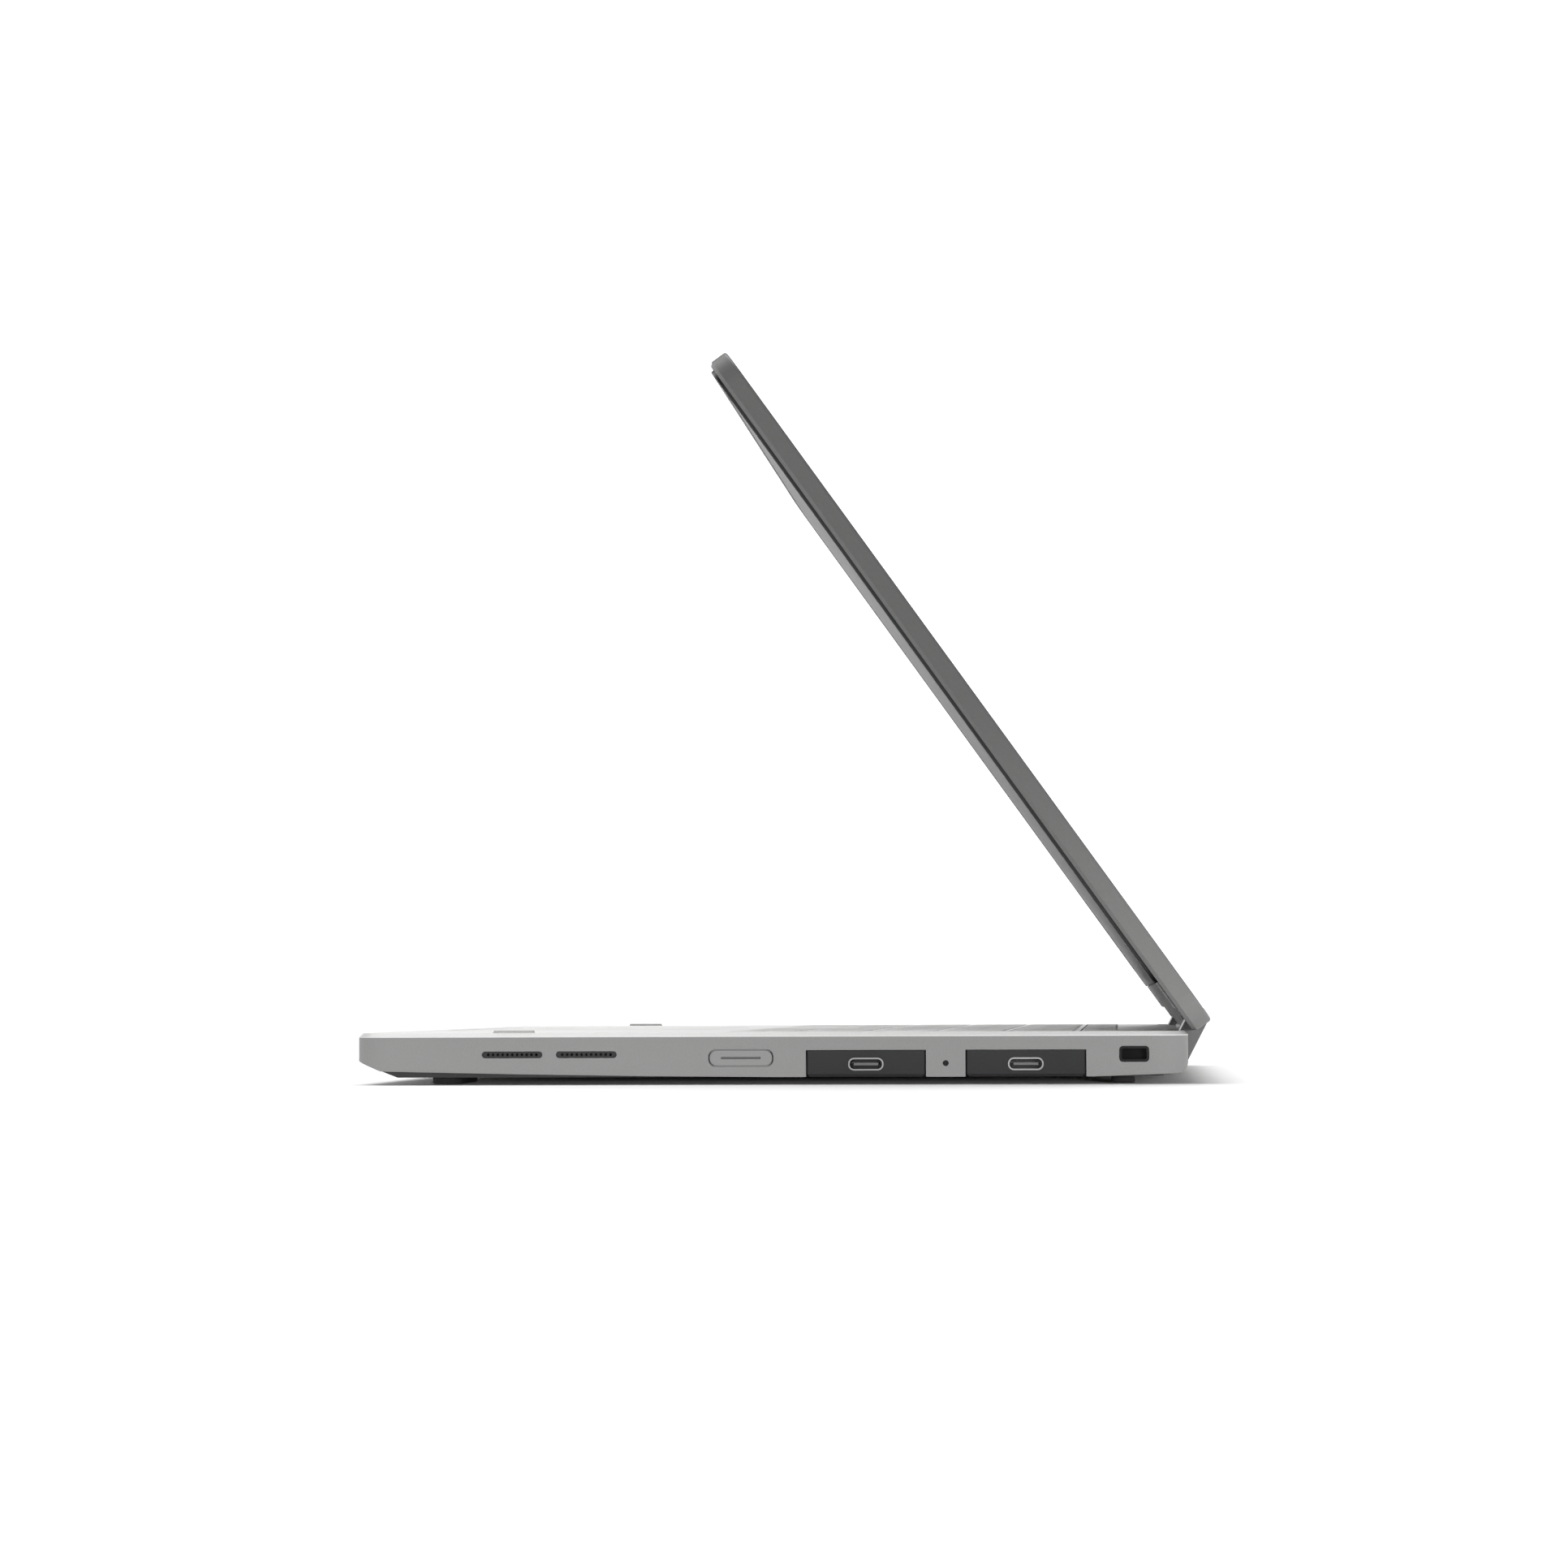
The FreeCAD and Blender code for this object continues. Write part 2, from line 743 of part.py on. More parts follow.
def front_lip():
    """The part of the front bevel that belongs to the frame."""
    slope = "front_bevel_rise / front_bevel_run"
    start = "bottom_z + front_bevel_rise"
    corners = [
        ("front_y", start),
        ("front_y + front_lip", f"{start} - front_lip * {slope}"),
        ("front_y + front_lip", f"{start} - front_lip * {slope} + lip_thickness"),
        ("front_y + wall", f"{start} - wall * {slope} + lip_thickness"),
        ("front_y", f"{start} + lip_thickness"),
    ]
    return side_profile("front_lip_profile", corners, {}, centred("half_width"))


def side_openings(word, side):
    """Tools for the openings in one side of the frame."""
    wall = across(side, f"inner_x - {PAST}", f"half_width + {PAST}")
    tools = []
    for index in range(2):
        middle = f"slots_front + {index} * slot_pitch + slot_length / 2"
        tools.append(pill(f"slot_{word}", ("slot_length", "slot_height"), "slot_height / 2.1",
                          (middle, "slot_z"), wall))
    for edge in ("front_module", "rear_module"):
        tools.append(box(f"{edge}_mouth_{word}", wall,
                         (f"{edge} - module_gap", f"{edge} + module_width + module_gap"),
                         (f"bottom_z - {PAST}", "module_z + module_gap")))
    return tools


def vents():
    """Slots in the rear wall behind the fins."""
    count = int(number("fan_size / (2 * fin_pitch)"))
    for index in range(count):
        middle = f"fan_left + {2 * index + 1} * fin_pitch"
        yield box("vent", (f"{middle} - vent_width / 2", f"{middle} + vent_width / 2"),
                  (f"rear_y - wall - {PAST}", f"rear_y + {PAST}"),
                  ("axis_z - vent_height / 2", "axis_z + vent_height / 2"))


def make_side_frame():
    block = common("frame_block", [base_block("frame_plan", "0", ("bottom_z", "deck_under")),
                                   side_profile("frame_skirt", *skirt_profile(), centred("half_width"))])
    hollow = base_block("frame_hollow", "wall", (f"bottom_z - {PAST}", f"deck_under + {PAST}"))
    ring = cut("frame_ring", block, [hollow])
    lip = common("frame_lip", [front_lip(), base_block("lip_plan", "0", ("bottom_z", "deck_under"))])
    liners = []
    passages = []
    for word, side in SIDES.items():
        liners.append(box(f"frame_liner_{word}", across(side, "notch_inner - liner", "notch_outer + liner"),
                          ("axis_y - notch_reach - liner", "rear_y - wall / 2"), ("rim_z + shell_gap",
                                                                                  "deck_under")))
        passages.append(rod(f"frame_passage_{word}",
                            across(side, f"notch_inner - liner - {PAST}", "notch_outer"),
                            "axis_y", "axis_z", "knuckle_radius + running"))
        passages.append(box(f"frame_pocket_{word}",
                            across(side, "knuckle_inner - link_play", "notch_inner - liner"),
                            (f"rear_y - wall - {PAST}", "rear_y - knuckle_skin"),
                            ("axis_z - knuckle_radius - fit", "axis_z + knuckle_radius + fit")))
    openings = side_openings("right", 1) + side_openings("left", -1) + list(vents())
    wall = (f"inner_x - {PAST}", f"half_width + {PAST}")
    openings.append(pill("button_hole", ("button_length + 2 * button_gap",
                                         "button_height + 2 * button_gap"),
                         "button_height / 2", ("button_y", "button_z"), wall))
    openings.append(rod("status_hole", wall, "status_y", "status_z", "status_radius + fit"))
    openings.append(pill("lock_hole", ("lock_width + 2 * lock_frame + 2 * fit",
                                       "lock_height + 2 * lock_frame + 2 * fit"),
                         "lock_corner + fit", ("lock_y", "lock_z"), wall))
    openings.append(rod("jack_hole", across(-1, *wall), "button_y", "button_z", "jack_collar + fit"))
    notches = hinge_notches("frame_notch", (f"bottom_z - {PAST}", f"deck_under + {PAST}"))
    solid = fuse("frame_solid", [ring, lip] + liners)
    opened = cut("frame_opened", solid, openings)
    node("side_frame", cut("frame_notched", opened, passages + notches))


def make_bottom_cover():
    slope = "front_bevel_rise / front_bevel_run"
    front = "front_y + front_lip + shell_gap"
    rear = "rear_y - wall - shell_gap"
    corners = [
        (front, "rim_z"),
        (front, f"bottom_z + front_bevel_rise - (front_lip + shell_gap) * {slope}"),
        ("front_y + front_bevel_run", "bottom_z"),
        ("rear_y - cover_bevel_run", "bottom_z"),
        (rear, "bottom_z + rear_bevel_rise"),
        (rear, "rim_z"),
    ]
    shell = common("cover_shell", [base_block("cover_plan", "wall + shell_gap", ("bottom_z", "rim_z")),
                                   side_profile("cover_profile", corners, {}, centred("half_width"))])
    hollow = box("cover_hollow", centred("rim_x"), ("front_y + front_bevel_run", f"{rear} - rim_wall"),
                 ("floor_z", f"rim_z + {PAST}"))
    tools = [hollow] + hinge_notches("cover_notch", (f"bottom_z - {PAST}", f"rim_z + {PAST}"))
    for word, side in SIDES.items():
        tools.append(box(f"cover_relief_{word}", across(side, f"rim_x - {PAST}", "half_width"),
                         ("button_y - button_length / 2 - bay_wall - rim_wall", "bay_rear"),
                         ("floor_z", f"rim_z + {PAST}")))
        tools.append(box(f"cover_recess_{word}", across(side, "notch_inner - liner - shell_gap",
                                                        "notch_outer + liner + shell_gap"),
                         ("axis_y - notch_reach - liner - shell_gap", "rear_y"), ("rim_z",
                                                                                  f"rim_z + {PAST}")))
        for edge in ("front_module", "rear_module"):
            tools.append(box(f"cover_{edge}_{word}", across(side, "module_x - module_gap", "half_width"),
                             (f"{edge} - module_gap", f"{edge} + module_width + module_gap"),
                             (f"bottom_z - {PAST}", f"rim_z + {PAST}")))
    for index in range(INTAKE_SLOTS):
        offset = 2 * index / INTAKE_SLOTS - 1 + 1 / INTAKE_SLOTS
        middle = f"fan_x + {offset} * inlet_radius"
        reach = f"inlet_radius * {math.sqrt(1 - offset ** 2):.3f}"
        tools.append(box("intake_slot", (f"{middle} - vent_width / 2", f"{middle} + vent_width / 2"),
                         (f"fan_y - {reach}", f"fan_y + {reach}"), (f"bottom_z - {PAST}",
                                                                    f"floor_z + {PAST}")))
    opened = cut("cover_opened", shell, tools)
    raised = [opened]
    for x, y in standoff_spots():
        raised.append(post("standoff", x, y, ("floor_z", "board_z"), "standoff_radius"))
    for word, side in SIDES.items():
        raised.append(box(f"bracket_seat_{word}",
                          across(side, "knuckle_inner + fit", "knuckle_outer - fit"),
                          ("axis_y - bracket_reach", "axis_y - knuckle_radius - bracket_plate * 2"),
                          ("floor_z", "axis_z - knuckle_radius")))
    solid = fuse("cover_raised", raised)
    holes = []
    for x, y in post_spots():
        holes.append(post("cover_bore", x, y, (f"bottom_z - {PAST}", f"floor_z + {PAST}"),
                          "screw_radius + fit"))
        holes.append(post("cover_sink", x, y, (f"bottom_z - {PAST}", "bottom_z + screw_head"),
                          "screw_head_radius + fit"))
    node("bottom_cover", cut("cover_bored", solid, holes))


def make_screws():
    screws = []
    for x, y in post_spots():
        head = post("screw_head_disc", x, y, ("bottom_z", "bottom_z + screw_head"), "screw_head_radius")
        shank = post("screw_shank", x, y, ("bottom_z", "floor_z + screw_grip - fit"), "screw_radius")
        socket = post("screw_socket", x, y, (f"bottom_z - {PAST}", "bottom_z + screw_head / 2"),
                      "screw_radius * 0.7")
        screws.append(cut("screw", fuse("screw_blank", [head, shank]), [socket]))
    node("bottom_screws", group("screws", screws))


def make_feet():
    feet = []
    for side in SIDES.values():
        middle = f"{side} * (half_width - foot_inset - foot_length / 2)"
        for depth, y in (("front_foot_depth", "front_y + front_foot_set + front_foot_depth / 2"),
                         ("rear_foot_depth", "rear_y - rear_foot_set - rear_foot_depth / 2")):
            feet.append(plate("foot", ("foot_length", depth), f"{depth} / 2.2", (middle, y),
                              ("0", "bottom_z")))
    node("rubber_feet", fillet("feet_rounded", group("feet", feet), [(underneath, "foot_round")]))


def make_bumpers():
    """Soft pads at the side edges of the deck, sloped at both ends."""
    low = "front_y + bumper_set"
    high = f"{low} + bumper_length"
    corners = [
        (low, "deck_z"),
        (high, "deck_z"),
        (f"{high} - bumper_slope", "deck_z + bumper_height"),
        (f"{low} + bumper_slope", "deck_z + bumper_height"),
    ]
    outer = "half_width - edge_chamfer - fit"
    pads = [side_profile("bumper", corners, {}, across(side, f"{outer} - bumper_width", outer))
            for side in SIDES.values()]
    node("deck_bumpers", group("bumpers", pads))


def make_speakers():
    boxes = []
    strips = []
    for word, side in SIDES.items():
        lengthwise = ("slots_front - speaker_margin", "slots_rear + speaker_margin")
        case = box(f"speaker_case_{word}", across(side, "speaker_x", "speaker_x + speaker_width"),
                   lengthwise,
                   ("floor_z", "floor_z + speaker_height"))
        mouth = box(f"speaker_mouth_{word}",
                    across(side, "speaker_x + speaker_width / 2", f"rim_x + {PAST}"),
                    ("slots_front", "slots_rear"), ("slot_z - slot_height", "slot_z + slot_height"))
        boxes.append(cut(f"speaker_{word}", case, [mouth]))
        for index in range(2):
            middle = f"slots_front + {index} * slot_pitch + slot_length / 2"
            strips.append(mesh_strip(f"mesh_{word}", side, middle))
    node("speakers", group("speaker_pair", boxes))
    node("speaker_meshes", group("mesh_strips", strips))


def mesh_strip(name, side, middle):
    """A perforated strip that closes one speaker slot, a row of round holes in it."""
    x = across(side, "half_width - mesh_depth - mesh_thickness", "half_width - mesh_depth")
    strip = pill(name, ("slot_length - 2 * fit", "slot_height - 2 * fit"), "(slot_height - 2 * fit) / 2.1",
                 (middle, "slot_z"), x)
    count = int(number("slot_length / mesh_pitch")) - 1
    through = across(side, f"half_width - mesh_depth - mesh_thickness - {PAST}", "half_width")
    holes = [rod("mesh_bore", through, f"{middle} + {index - (count - 1) / 2} * mesh_pitch", "slot_z",
                 "mesh_hole")
             for index in range(count)]
    return cut(name + "_pierced", strip, [group(name + "_bores", holes)])


def make_keyboard_tray():
    block = box("tray_block", centred("tray_x"), ("tray_front", "tray_rear"),
                ("tray_z - tray_floor", "deck_under"))
    hollow = box("tray_hollow", centred("tray_x - tray_wall"),
                 ("tray_front + tray_wall", "tray_rear - tray_wall"),
                 ("tray_z", f"deck_under + {PAST}"))
    node("keyboard_tray", cut("tray", block, [hollow]))


def make_touchpad():
    """A plate that tips about a pivot under its rear edge."""
    sheet = fillet("pad_sheet", plate("pad_plate", ("pad_width", "pad_depth"), "pad_corner",
                                      ("0", "pad_y + pad_depth / 2"), ("pad_under",
                                                                       "pad_top")), [(on_top,
                                                                                      "pad_drop * 4")])
    reach = "pad_width / 2 - pad_corner * 2"
    knuckle = rod("pad_knuckle", centred(reach), "pivot_y", "pivot_z", "pivot_radius")
    rib = box("pad_rib", centred(reach), ("pivot_y - pivot_radius", "pivot_y + pivot_radius"),
              ("pivot_z", "pad_under"))
    bore = rod("pad_bore", centred(f"{reach} + {PAST}"), "pivot_y", "pivot_z", "pivot_pin + running")
    node("touchpad", cut("pad_bored", fuse("pad_solid", [sheet, knuckle, rib]), [bore]))

    outer = "pad_width / 2 + pad_gap + bracket_margin + bracket_wall"
    lengthwise = ("pad_y", "pad_rear + pad_gap + bracket_margin")
    floor = box("bracket_plate_floor", centred(outer), lengthwise,
                ("bracket_z - bracket_floor", "bracket_z"))
    parts = [floor]
    for word, side in SIDES.items():
        parts.append(box(f"bracket_wall_{word}", across(side, f"{outer} - bracket_wall", outer), lengthwise,
                         ("bracket_z", "deck_under")))
        parts.append(box(f"bracket_ear_{word}",
                         across(side, f"{reach} + running", f"{reach} + running + bracket_wall"),
                         ("pivot_y - pivot_radius", "pivot_y + pivot_radius"), ("bracket_z",
                                                                                "pivot_z + pivot_pin")))
    parts.append(rod("bracket_pin", centred(f"{reach} + running + bracket_wall"), "pivot_y", "pivot_z",
                     "pivot_pin"))
    node("touchpad_bracket", fuse("bracket_solid", parts))


def make_switches():
    """The switch under the touchpad and the one behind the power button."""
    pad_switch = post("pad_switch", "0", "pad_y + pad_depth / 5", ("bracket_z", "pad_under - pad_click"),
                      "pivot_radius * 3")
    flange = "inner_x - fit * 4 - button_flange"
    tip = f"{flange} - button_travel - fit"
    block = box("power_switch_block", (f"{tip} - switch_depth", f"{tip} - button_flange"),
                ("button_y - button_length / 4", "button_y + button_length / 4"),
                ("floor_z", "button_z + button_height / 2"))
    plunger = rod("power_switch_plunger", (f"{tip} - button_flange", tip), "button_y", "button_z",
                  "button_height / 4")
    node("click_switches", group("switches", [pad_switch, fuse("power_switch", [block, plunger])]))


def make_battery():
    wide = "speaker_x - battery_margin - post_radius * 4"
    lengthwise = ("front_y + front_bevel_run + battery_margin", "tray_front - battery_margin")
    block = box("battery_block", centred(wide), lengthwise, ("floor_z", "floor_z + battery_height"))
    grooves = []
    for index in range(1, BATTERY_CELLS):
        middle = f"({wide}) * {2 * index / BATTERY_CELLS - 1}"
        grooves.append(box("battery_groove", (f"{middle} - cell_groove", f"{middle} + cell_groove"),
                           (f"{lengthwise[0]} - {PAST}", f"{lengthwise[1]} - battery_margin * 3"),
                           ("floor_z + battery_height - cell_groove",
                            f"floor_z + battery_height + {PAST}")))
    node("battery_pack", cut("battery", block, [group("battery_grooves", grooves)]))


def make_module(word, side, edge):
    """One sliding port module with its plug at the inner end, and the port in its outer face."""
    name = f"{word}_{edge}"
    low = f"{edge}_module"
    middle = f"{low} + module_width / 2"
    case = box(f"module_case_{name}", across(side, "module_x", "half_width"),
               (low, f"{low} + module_width"), ("bottom_z", "module_z"))
    rounded = fillet(f"module_rounded_{name}", case, [(upright, "module_corner")])
    plug = pill(f"module_plug_{name}", ("plug_width", "plug_height"), "plug_height / 2.1",
                (middle, "usb_z"),
                across(side, "module_x - plug_length", "module_x + module_corner"))
    bevelled = bevel_outer_edge(name, side, rounded)
    hole = pill(f"module_hole_{name}", ("usb_width + 2 * fit", "usb_height + 2 * fit"), "usb_height / 2.1",
                (middle, "usb_z"), across(side, "half_width - usb_depth - fit", f"half_width + {PAST}"))
    node(f"port_module_{name}", cut(f"module_{name}", fuse(f"module_solid_{name}", [bevelled, plug]),
                                    [hole]))

    shell = pill(f"usb_block_{name}", ("usb_width", "usb_height"), "usb_height / 2.1", (middle, "usb_z"),
                 across(side, "half_width - usb_depth", "half_width"))
    mouth = pill(f"usb_mouth_{name}", ("usb_width - 2 * usb_shell", "usb_height - 2 * usb_shell"),
                 "(usb_height - 2 * usb_shell) / 2.1", (middle, "usb_z"),
                 across(side, "half_width - usb_depth + usb_shell", f"half_width + {PAST}"))
    tongue = box(f"usb_tongue_{name}", across(side, "half_width - usb_depth + usb_shell",
                                              "half_width - tongue_set"),
                 (f"{middle} - tongue_width / 2", f"{middle} + tongue_width / 2"),
                 ("usb_z - tongue_height / 2", "usb_z + tongue_height / 2"))
    node(f"usb_port_{name}", fuse(f"usb_{name}", [cut(f"usb_shell_{name}", shell, [mouth]), tongue]))


def bevel_outer_edge(name, side, case):
    """A bevel along the lower edge of the outer face."""
    def lower_outer(edge, bounds):
        end = bounds.XMax if side > 0 else bounds.XMin
        return edge.ZMax < bounds.ZMin + TINY and abs(edge.XMin - end) < TINY and edge.XLength < TINY
    return chamfer(f"module_bevelled_{name}", case, [(lower_outer, "module_bevel")])


def make_modules():
    bays = []
    sockets = []
    for word, side in SIDES.items():
        for edge in ("front", "rear"):
            make_module(word, side, edge)
            middle = f"{edge}_module + module_width / 2"
            case = box(f"socket_case_{word}", across(side, "socket_end", "socket_x"),
                       (f"{middle} - plug_width / 2 - plug_gap - socket_wall",
                        f"{middle} + plug_width / 2 + plug_gap + socket_wall"),
                       ("floor_z", "usb_z + plug_height / 2 + plug_gap + socket_wall"))
            mouth = pill(f"socket_mouth_{word}",
                         ("plug_width + 2 * plug_gap", "plug_height + 2 * plug_gap"),
                         "plug_height / 2.1", (middle, "usb_z"),
                         across(side, "module_x - plug_length - plug_gap", f"socket_x + {PAST}"))
            sockets.append(cut(f"socket_{word}_{edge}", case, [mouth]))
        bays.append(make_bay(word, side))
    node("module_bays", group("bays", bays))
    node("module_sockets", group("sockets", sockets))


def make_bay(word, side):
    """Roof and ribs that guide the two modules of one side."""
    x = across(side, "module_x", "inner_x - fit * 3")
    ribs = ("floor_z", "bay_roof_z")
    parts = [
        box(f"bay_roof_{word}", x, ("bay_front", "bay_rear"), ("bay_roof_z", "bay_roof_z + bay_roof")),
        box(f"bay_front_{word}", x, ("bay_front", "front_module - module_gap"), ribs),
        box(f"bay_middle_{word}", x, ("front_module + module_width + module_gap",
                                      "rear_module - module_gap"), ribs),
        box(f"bay_rear_{word}", x, ("rear_module + module_width + module_gap", "bay_rear"), ribs),
    ]
    solid = fuse(f"bay_solid_{word}", parts)
    if side < 0:
        return solid
    hole = rod("bay_light_hole", ("half_width - status_length - fit", "half_width"), "status_y", "status_z",
               "status_radius + fit")
    return cut("bay_bored", solid, [hole])


def make_side_controls():
    cap_x = ("inner_x - fit * 4 - button_flange / 2", "half_width")
    cap = pill("button_cap", ("button_length", "button_height"), "button_height / 2.1",
               ("button_y", "button_z"), cap_x)
    flange = pill("button_flange_plate", ("button_length + 2 * button_flange + 2 * button_gap",
                                          "button_height + 2 * button_flange + 2 * button_gap"),
                  "button_height / 2", ("button_y", "button_z"),
                  ("inner_x - fit * 4 - button_flange", "inner_x - fit * 4"))
    groove = pill("light_groove", ("light_length + 2 * fit", "light_height + 2 * fit"),
                  "light_height / 2.1",
                  ("button_y", "button_z"), ("half_width - light_depth", f"half_width + {PAST}"))
    node("power_button", cut("button", fuse("button_solid", [cap, flange]), [groove]))
    node("power_light", pill("light_line", ("light_length", "light_height"), "light_height / 2.2",
                             ("button_y", "button_z"), ("half_width - light_depth", "half_width")))
    node("status_light", rod("status_pipe", ("half_width - status_length", "half_width"), "status_y",
                             "status_z",
                             "status_radius"))

    frame = pill("lock_block", ("lock_width + 2 * lock_frame", "lock_height + 2 * lock_frame"),
                 "lock_corner",
                 ("lock_y", "lock_z"), ("half_width - lock_depth", "half_width"))
    slot = pill("lock_opening", ("lock_width", "lock_height"), "lock_corner / 2", ("lock_y", "lock_z"),
                ("half_width - lock_depth + lock_floor", f"half_width + {PAST}"))
    node("lock_slot", cut("lock", frame, [slot]))

    collar = rod("jack_collar_ring", across(-1, "inner_x - fit", "half_width"), "button_y", "button_z",
                 "jack_collar")
    body = box("jack_block", across(-1, "half_width - jack_length", "inner_x - fit"),
               ("button_y - jack_width / 2", "button_y + jack_width / 2"),
               ("button_z - jack_height / 2", "button_z + jack_height / 2"))
    bore = rod("jack_barrel", across(-1, "half_width - jack_length + wall", f"half_width + {PAST}"),
               "button_y", "button_z", "jack_bore")
    node("audio_jack", cut("jack", fuse("jack_solid", [collar, body]), [bore]))


def standoff_spots():
    for side in SIDES.values():
        yield f"{side} * (board_x - standoff_radius)", "bay_front + standoff_radius"
        yield f"{side} * (board_x - standoff_radius)", "bay_rear - standoff_radius"


def make_mainboard():
    board = box("board_sheet", centred("board_x"), ("bay_front", "bay_rear"), ("board_z", "board_top"))
    fan_room = box("board_fan_room", ("fan_left - fin_gap", "fan_left + fan_size + fin_gap"),
                   ("fan_y - fan_size / 2 - fin_gap", f"bay_rear + {PAST}"), (f"board_z - {PAST}",
                                                                              f"board_top + {PAST}"))
    chip = box("board_chip", ("-chip_left - chip_width / 2", "-chip_left + chip_width / 2"),
               ("chip_y - chip_depth / 2", "chip_y + chip_depth / 2"), ("board_top", "chip_top"))
    node("mainboard", fuse("board", [cut("board_cut", board, [fan_room]), chip]))

    stick_right = "-chip_left - chip_width / 2 - plate_margin - card_margin"
    node("memory_module", box("memory_stick",
                              ("-board_x + card_margin",
                               f"min({stick_right}; -board_x + card_margin + memory_width)"),
                              ("chip_y - memory_depth / 2", "chip_y + memory_depth / 2"),
                              ("board_top", "board_top + memory_height")))
    card_y = ("bay_rear - card_margin - card_width", "bay_rear - card_margin")
    node("storage_module", box("storage_card",
                               ("-board_x + card_margin", "-board_x + card_margin + storage_length"),
                               card_y, ("board_top", "board_top + card_height")))
    node("wireless_card", box("wireless_sheet",
                              ("board_x - card_margin - card_width", "board_x - card_margin"),
                              ("bay_front + card_margin * 3",
                               "bay_front + card_margin * 3 + wireless_length"),
                              ("board_top", "board_top + card_height")))


def make_cooling():
    """A plate on the chip, a flat pipe from it and a stack of fins behind the fan."""
    plate_x = ("-chip_left - chip_width / 2 - plate_margin", "-chip_left + chip_width / 2 + plate_margin")
    cold = box("cold_plate", plate_x, ("chip_y - chip_depth / 2 - plate_margin",
                                       "chip_y + chip_depth / 2 + plate_margin"),
               ("chip_top", "pipe_z"))
    fins = [box("fin_base", ("fan_left", "fan_left + fan_size"), ("fins_front", "fins_rear"),
                ("pipe_z - fin_thickness", "pipe_z"))]
    for index in range(int(number("fan_size / fin_pitch")) + 1):
        low = f"fan_left + {index} * (fan_size - fin_thickness) / {int(number('fan_size / fin_pitch'))}"
        fins.append(box("fin", (low, f"{low} + fin_thickness"), ("fins_front", "fins_rear"),
                        ("floor_z", "pipe_z - fin_thickness")))
    node("heat_sink", group("cold_parts", [cold, fuse("fin_stack", fins)]))

    middle = "(fins_front + fins_rear) / 2"
    bend = "pipe_width * 2"
    near, far = "pipe_x", "pipe_x + pipe_width"
    front, rear = f"{middle} - pipe_width / 2", f"{middle} + pipe_width / 2"
    inner = f"{bend} - pipe_width"
    corners = [
        (near, "chip_y - chip_depth / 2"),
        (far, "chip_y - chip_depth / 2"),
        (far, f"{front} - {inner}"),
        (f"{far} + {inner}", front),
        ("fan_left + fan_size", front),
        ("fan_left + fan_size", rear),
        (f"{near} + {bend}", rear),
        (near, f"{rear} - {bend}"),
    ]
    share = math.sin(math.radians(45))
    vias = {
        2: (f"{far} + ({inner}) * {1 - share:.4f}", f"{front} - ({inner}) * {1 - share:.4f}"),
        6: (f"{near} + {bend} * {1 - share:.4f}", f"{rear} - {bend} * {1 - share:.4f}"),
    }
    node("heat_pipe", padded_body("heat_pipe_bar", corners, vias, "pipe_height", ("0", "0", "pipe_z"),
                                  FreeCAD.Rotation()))


def make_fan():
    square = ("fan_left", "fan_left + fan_size"), ("fan_y - fan_size / 2", "fan_y + fan_size / 2")
    block = box("fan_block", *square, ("floor_z", "fan_top - fan_cover_height"))
    chamber = post("fan_chamber", "fan_x", "fan_y", ("floor_z + fan_wall", f"fan_top + {PAST}"),
                   "fan_size / 2 - fan_wall * 2")
    outlet = box("fan_outlet", ("fan_left + fan_wall * 2", "fan_left + fan_size - fan_wall * 2"),
                 ("fan_y", f"fan_y + fan_size / 2 + {PAST}"), ("floor_z + fan_wall", f"fan_top + {PAST}"))
    inlet = post("fan_inlet", "fan_x", "fan_y", (f"floor_z - {PAST}", f"fan_top + {PAST}"), "inlet_radius")
    spokes = [box("fan_spoke", ("fan_left", "fan_left + fan_size"),
                  ("fan_y - hub_radius / 3", "fan_y + hub_radius / 3"),
                  ("floor_z", "floor_z + fan_wall"))]
    spindle = post("fan_spindle", "fan_x", "fan_y",
                   ("floor_z", "floor_z + fan_wall + impeller_lift + impeller_height"), "fan_post")
    hollowed = cut("fan_hollowed", block, [chamber, outlet, inlet])
    node("fan_housing", fuse("fan_case", [hollowed, spindle] + spokes))

    lid = box("fan_lid", *square, ("fan_top - fan_cover_height", "fan_top"))
    opening = post("fan_lid_opening", "fan_x", "fan_y", (f"floor_z - {PAST}", f"fan_top + {PAST}"),
                   "inlet_radius")
    node("fan_cover", cut("fan_cover_plate", lid, [opening]))

    level = ("floor_z + fan_wall + impeller_lift", "floor_z + fan_wall + impeller_lift + impeller_height")
    hub = post("fan_hub", "fan_x", "fan_y", level, "hub_radius")
    blades = [hub]
    for index in range(BLADES):
        blade = box("blade", ("0", "blade_reach - hub_radius + blade_thickness"), ("0", "blade_thickness"),
                    ("0", "impeller_height"))
        turn = 360 * index / BLADES
        root = "(hub_radius - blade_thickness)"
        start = f"create(<<vector>>; {root} * cos({turn}); {root} * sin({turn}); 0)"
        centre = f"create(<<vector>>; fan_x; fan_y; {level[0]})"
        lean = f"create(<<rotation>>; create(<<vector>>; 0; 0; 1); {turn} + blade_sweep)"
        for axis in "xyz":
            blade.setExpression(f"Placement.Base.{axis}", None)
        bind(blade, "Placement", f"create(<<placement>>; {centre} + {start}; {lean})")
        blades.append(blade)
    bore = post("fan_bore", "fan_x", "fan_y", (f"floor_z - {PAST}", f"fan_top + {PAST}"),
                "fan_post + running")
    node("fan_impeller", cut("impeller", fuse("impeller_solid", blades), [bore]))


# Hinges, drawn upright from the base axis and turned to the resting angle of the link
def stadium(name, x, radius):
    parts = [
        rod(f"{name}_low", x, "0", "0", radius),
        rod(f"{name}_high", x, "0", "axis_gap", radius),
        box(f"{name}_web", x, centred(radius), ("0", "axis_gap")),
    ]
    return fuse(name, parts)


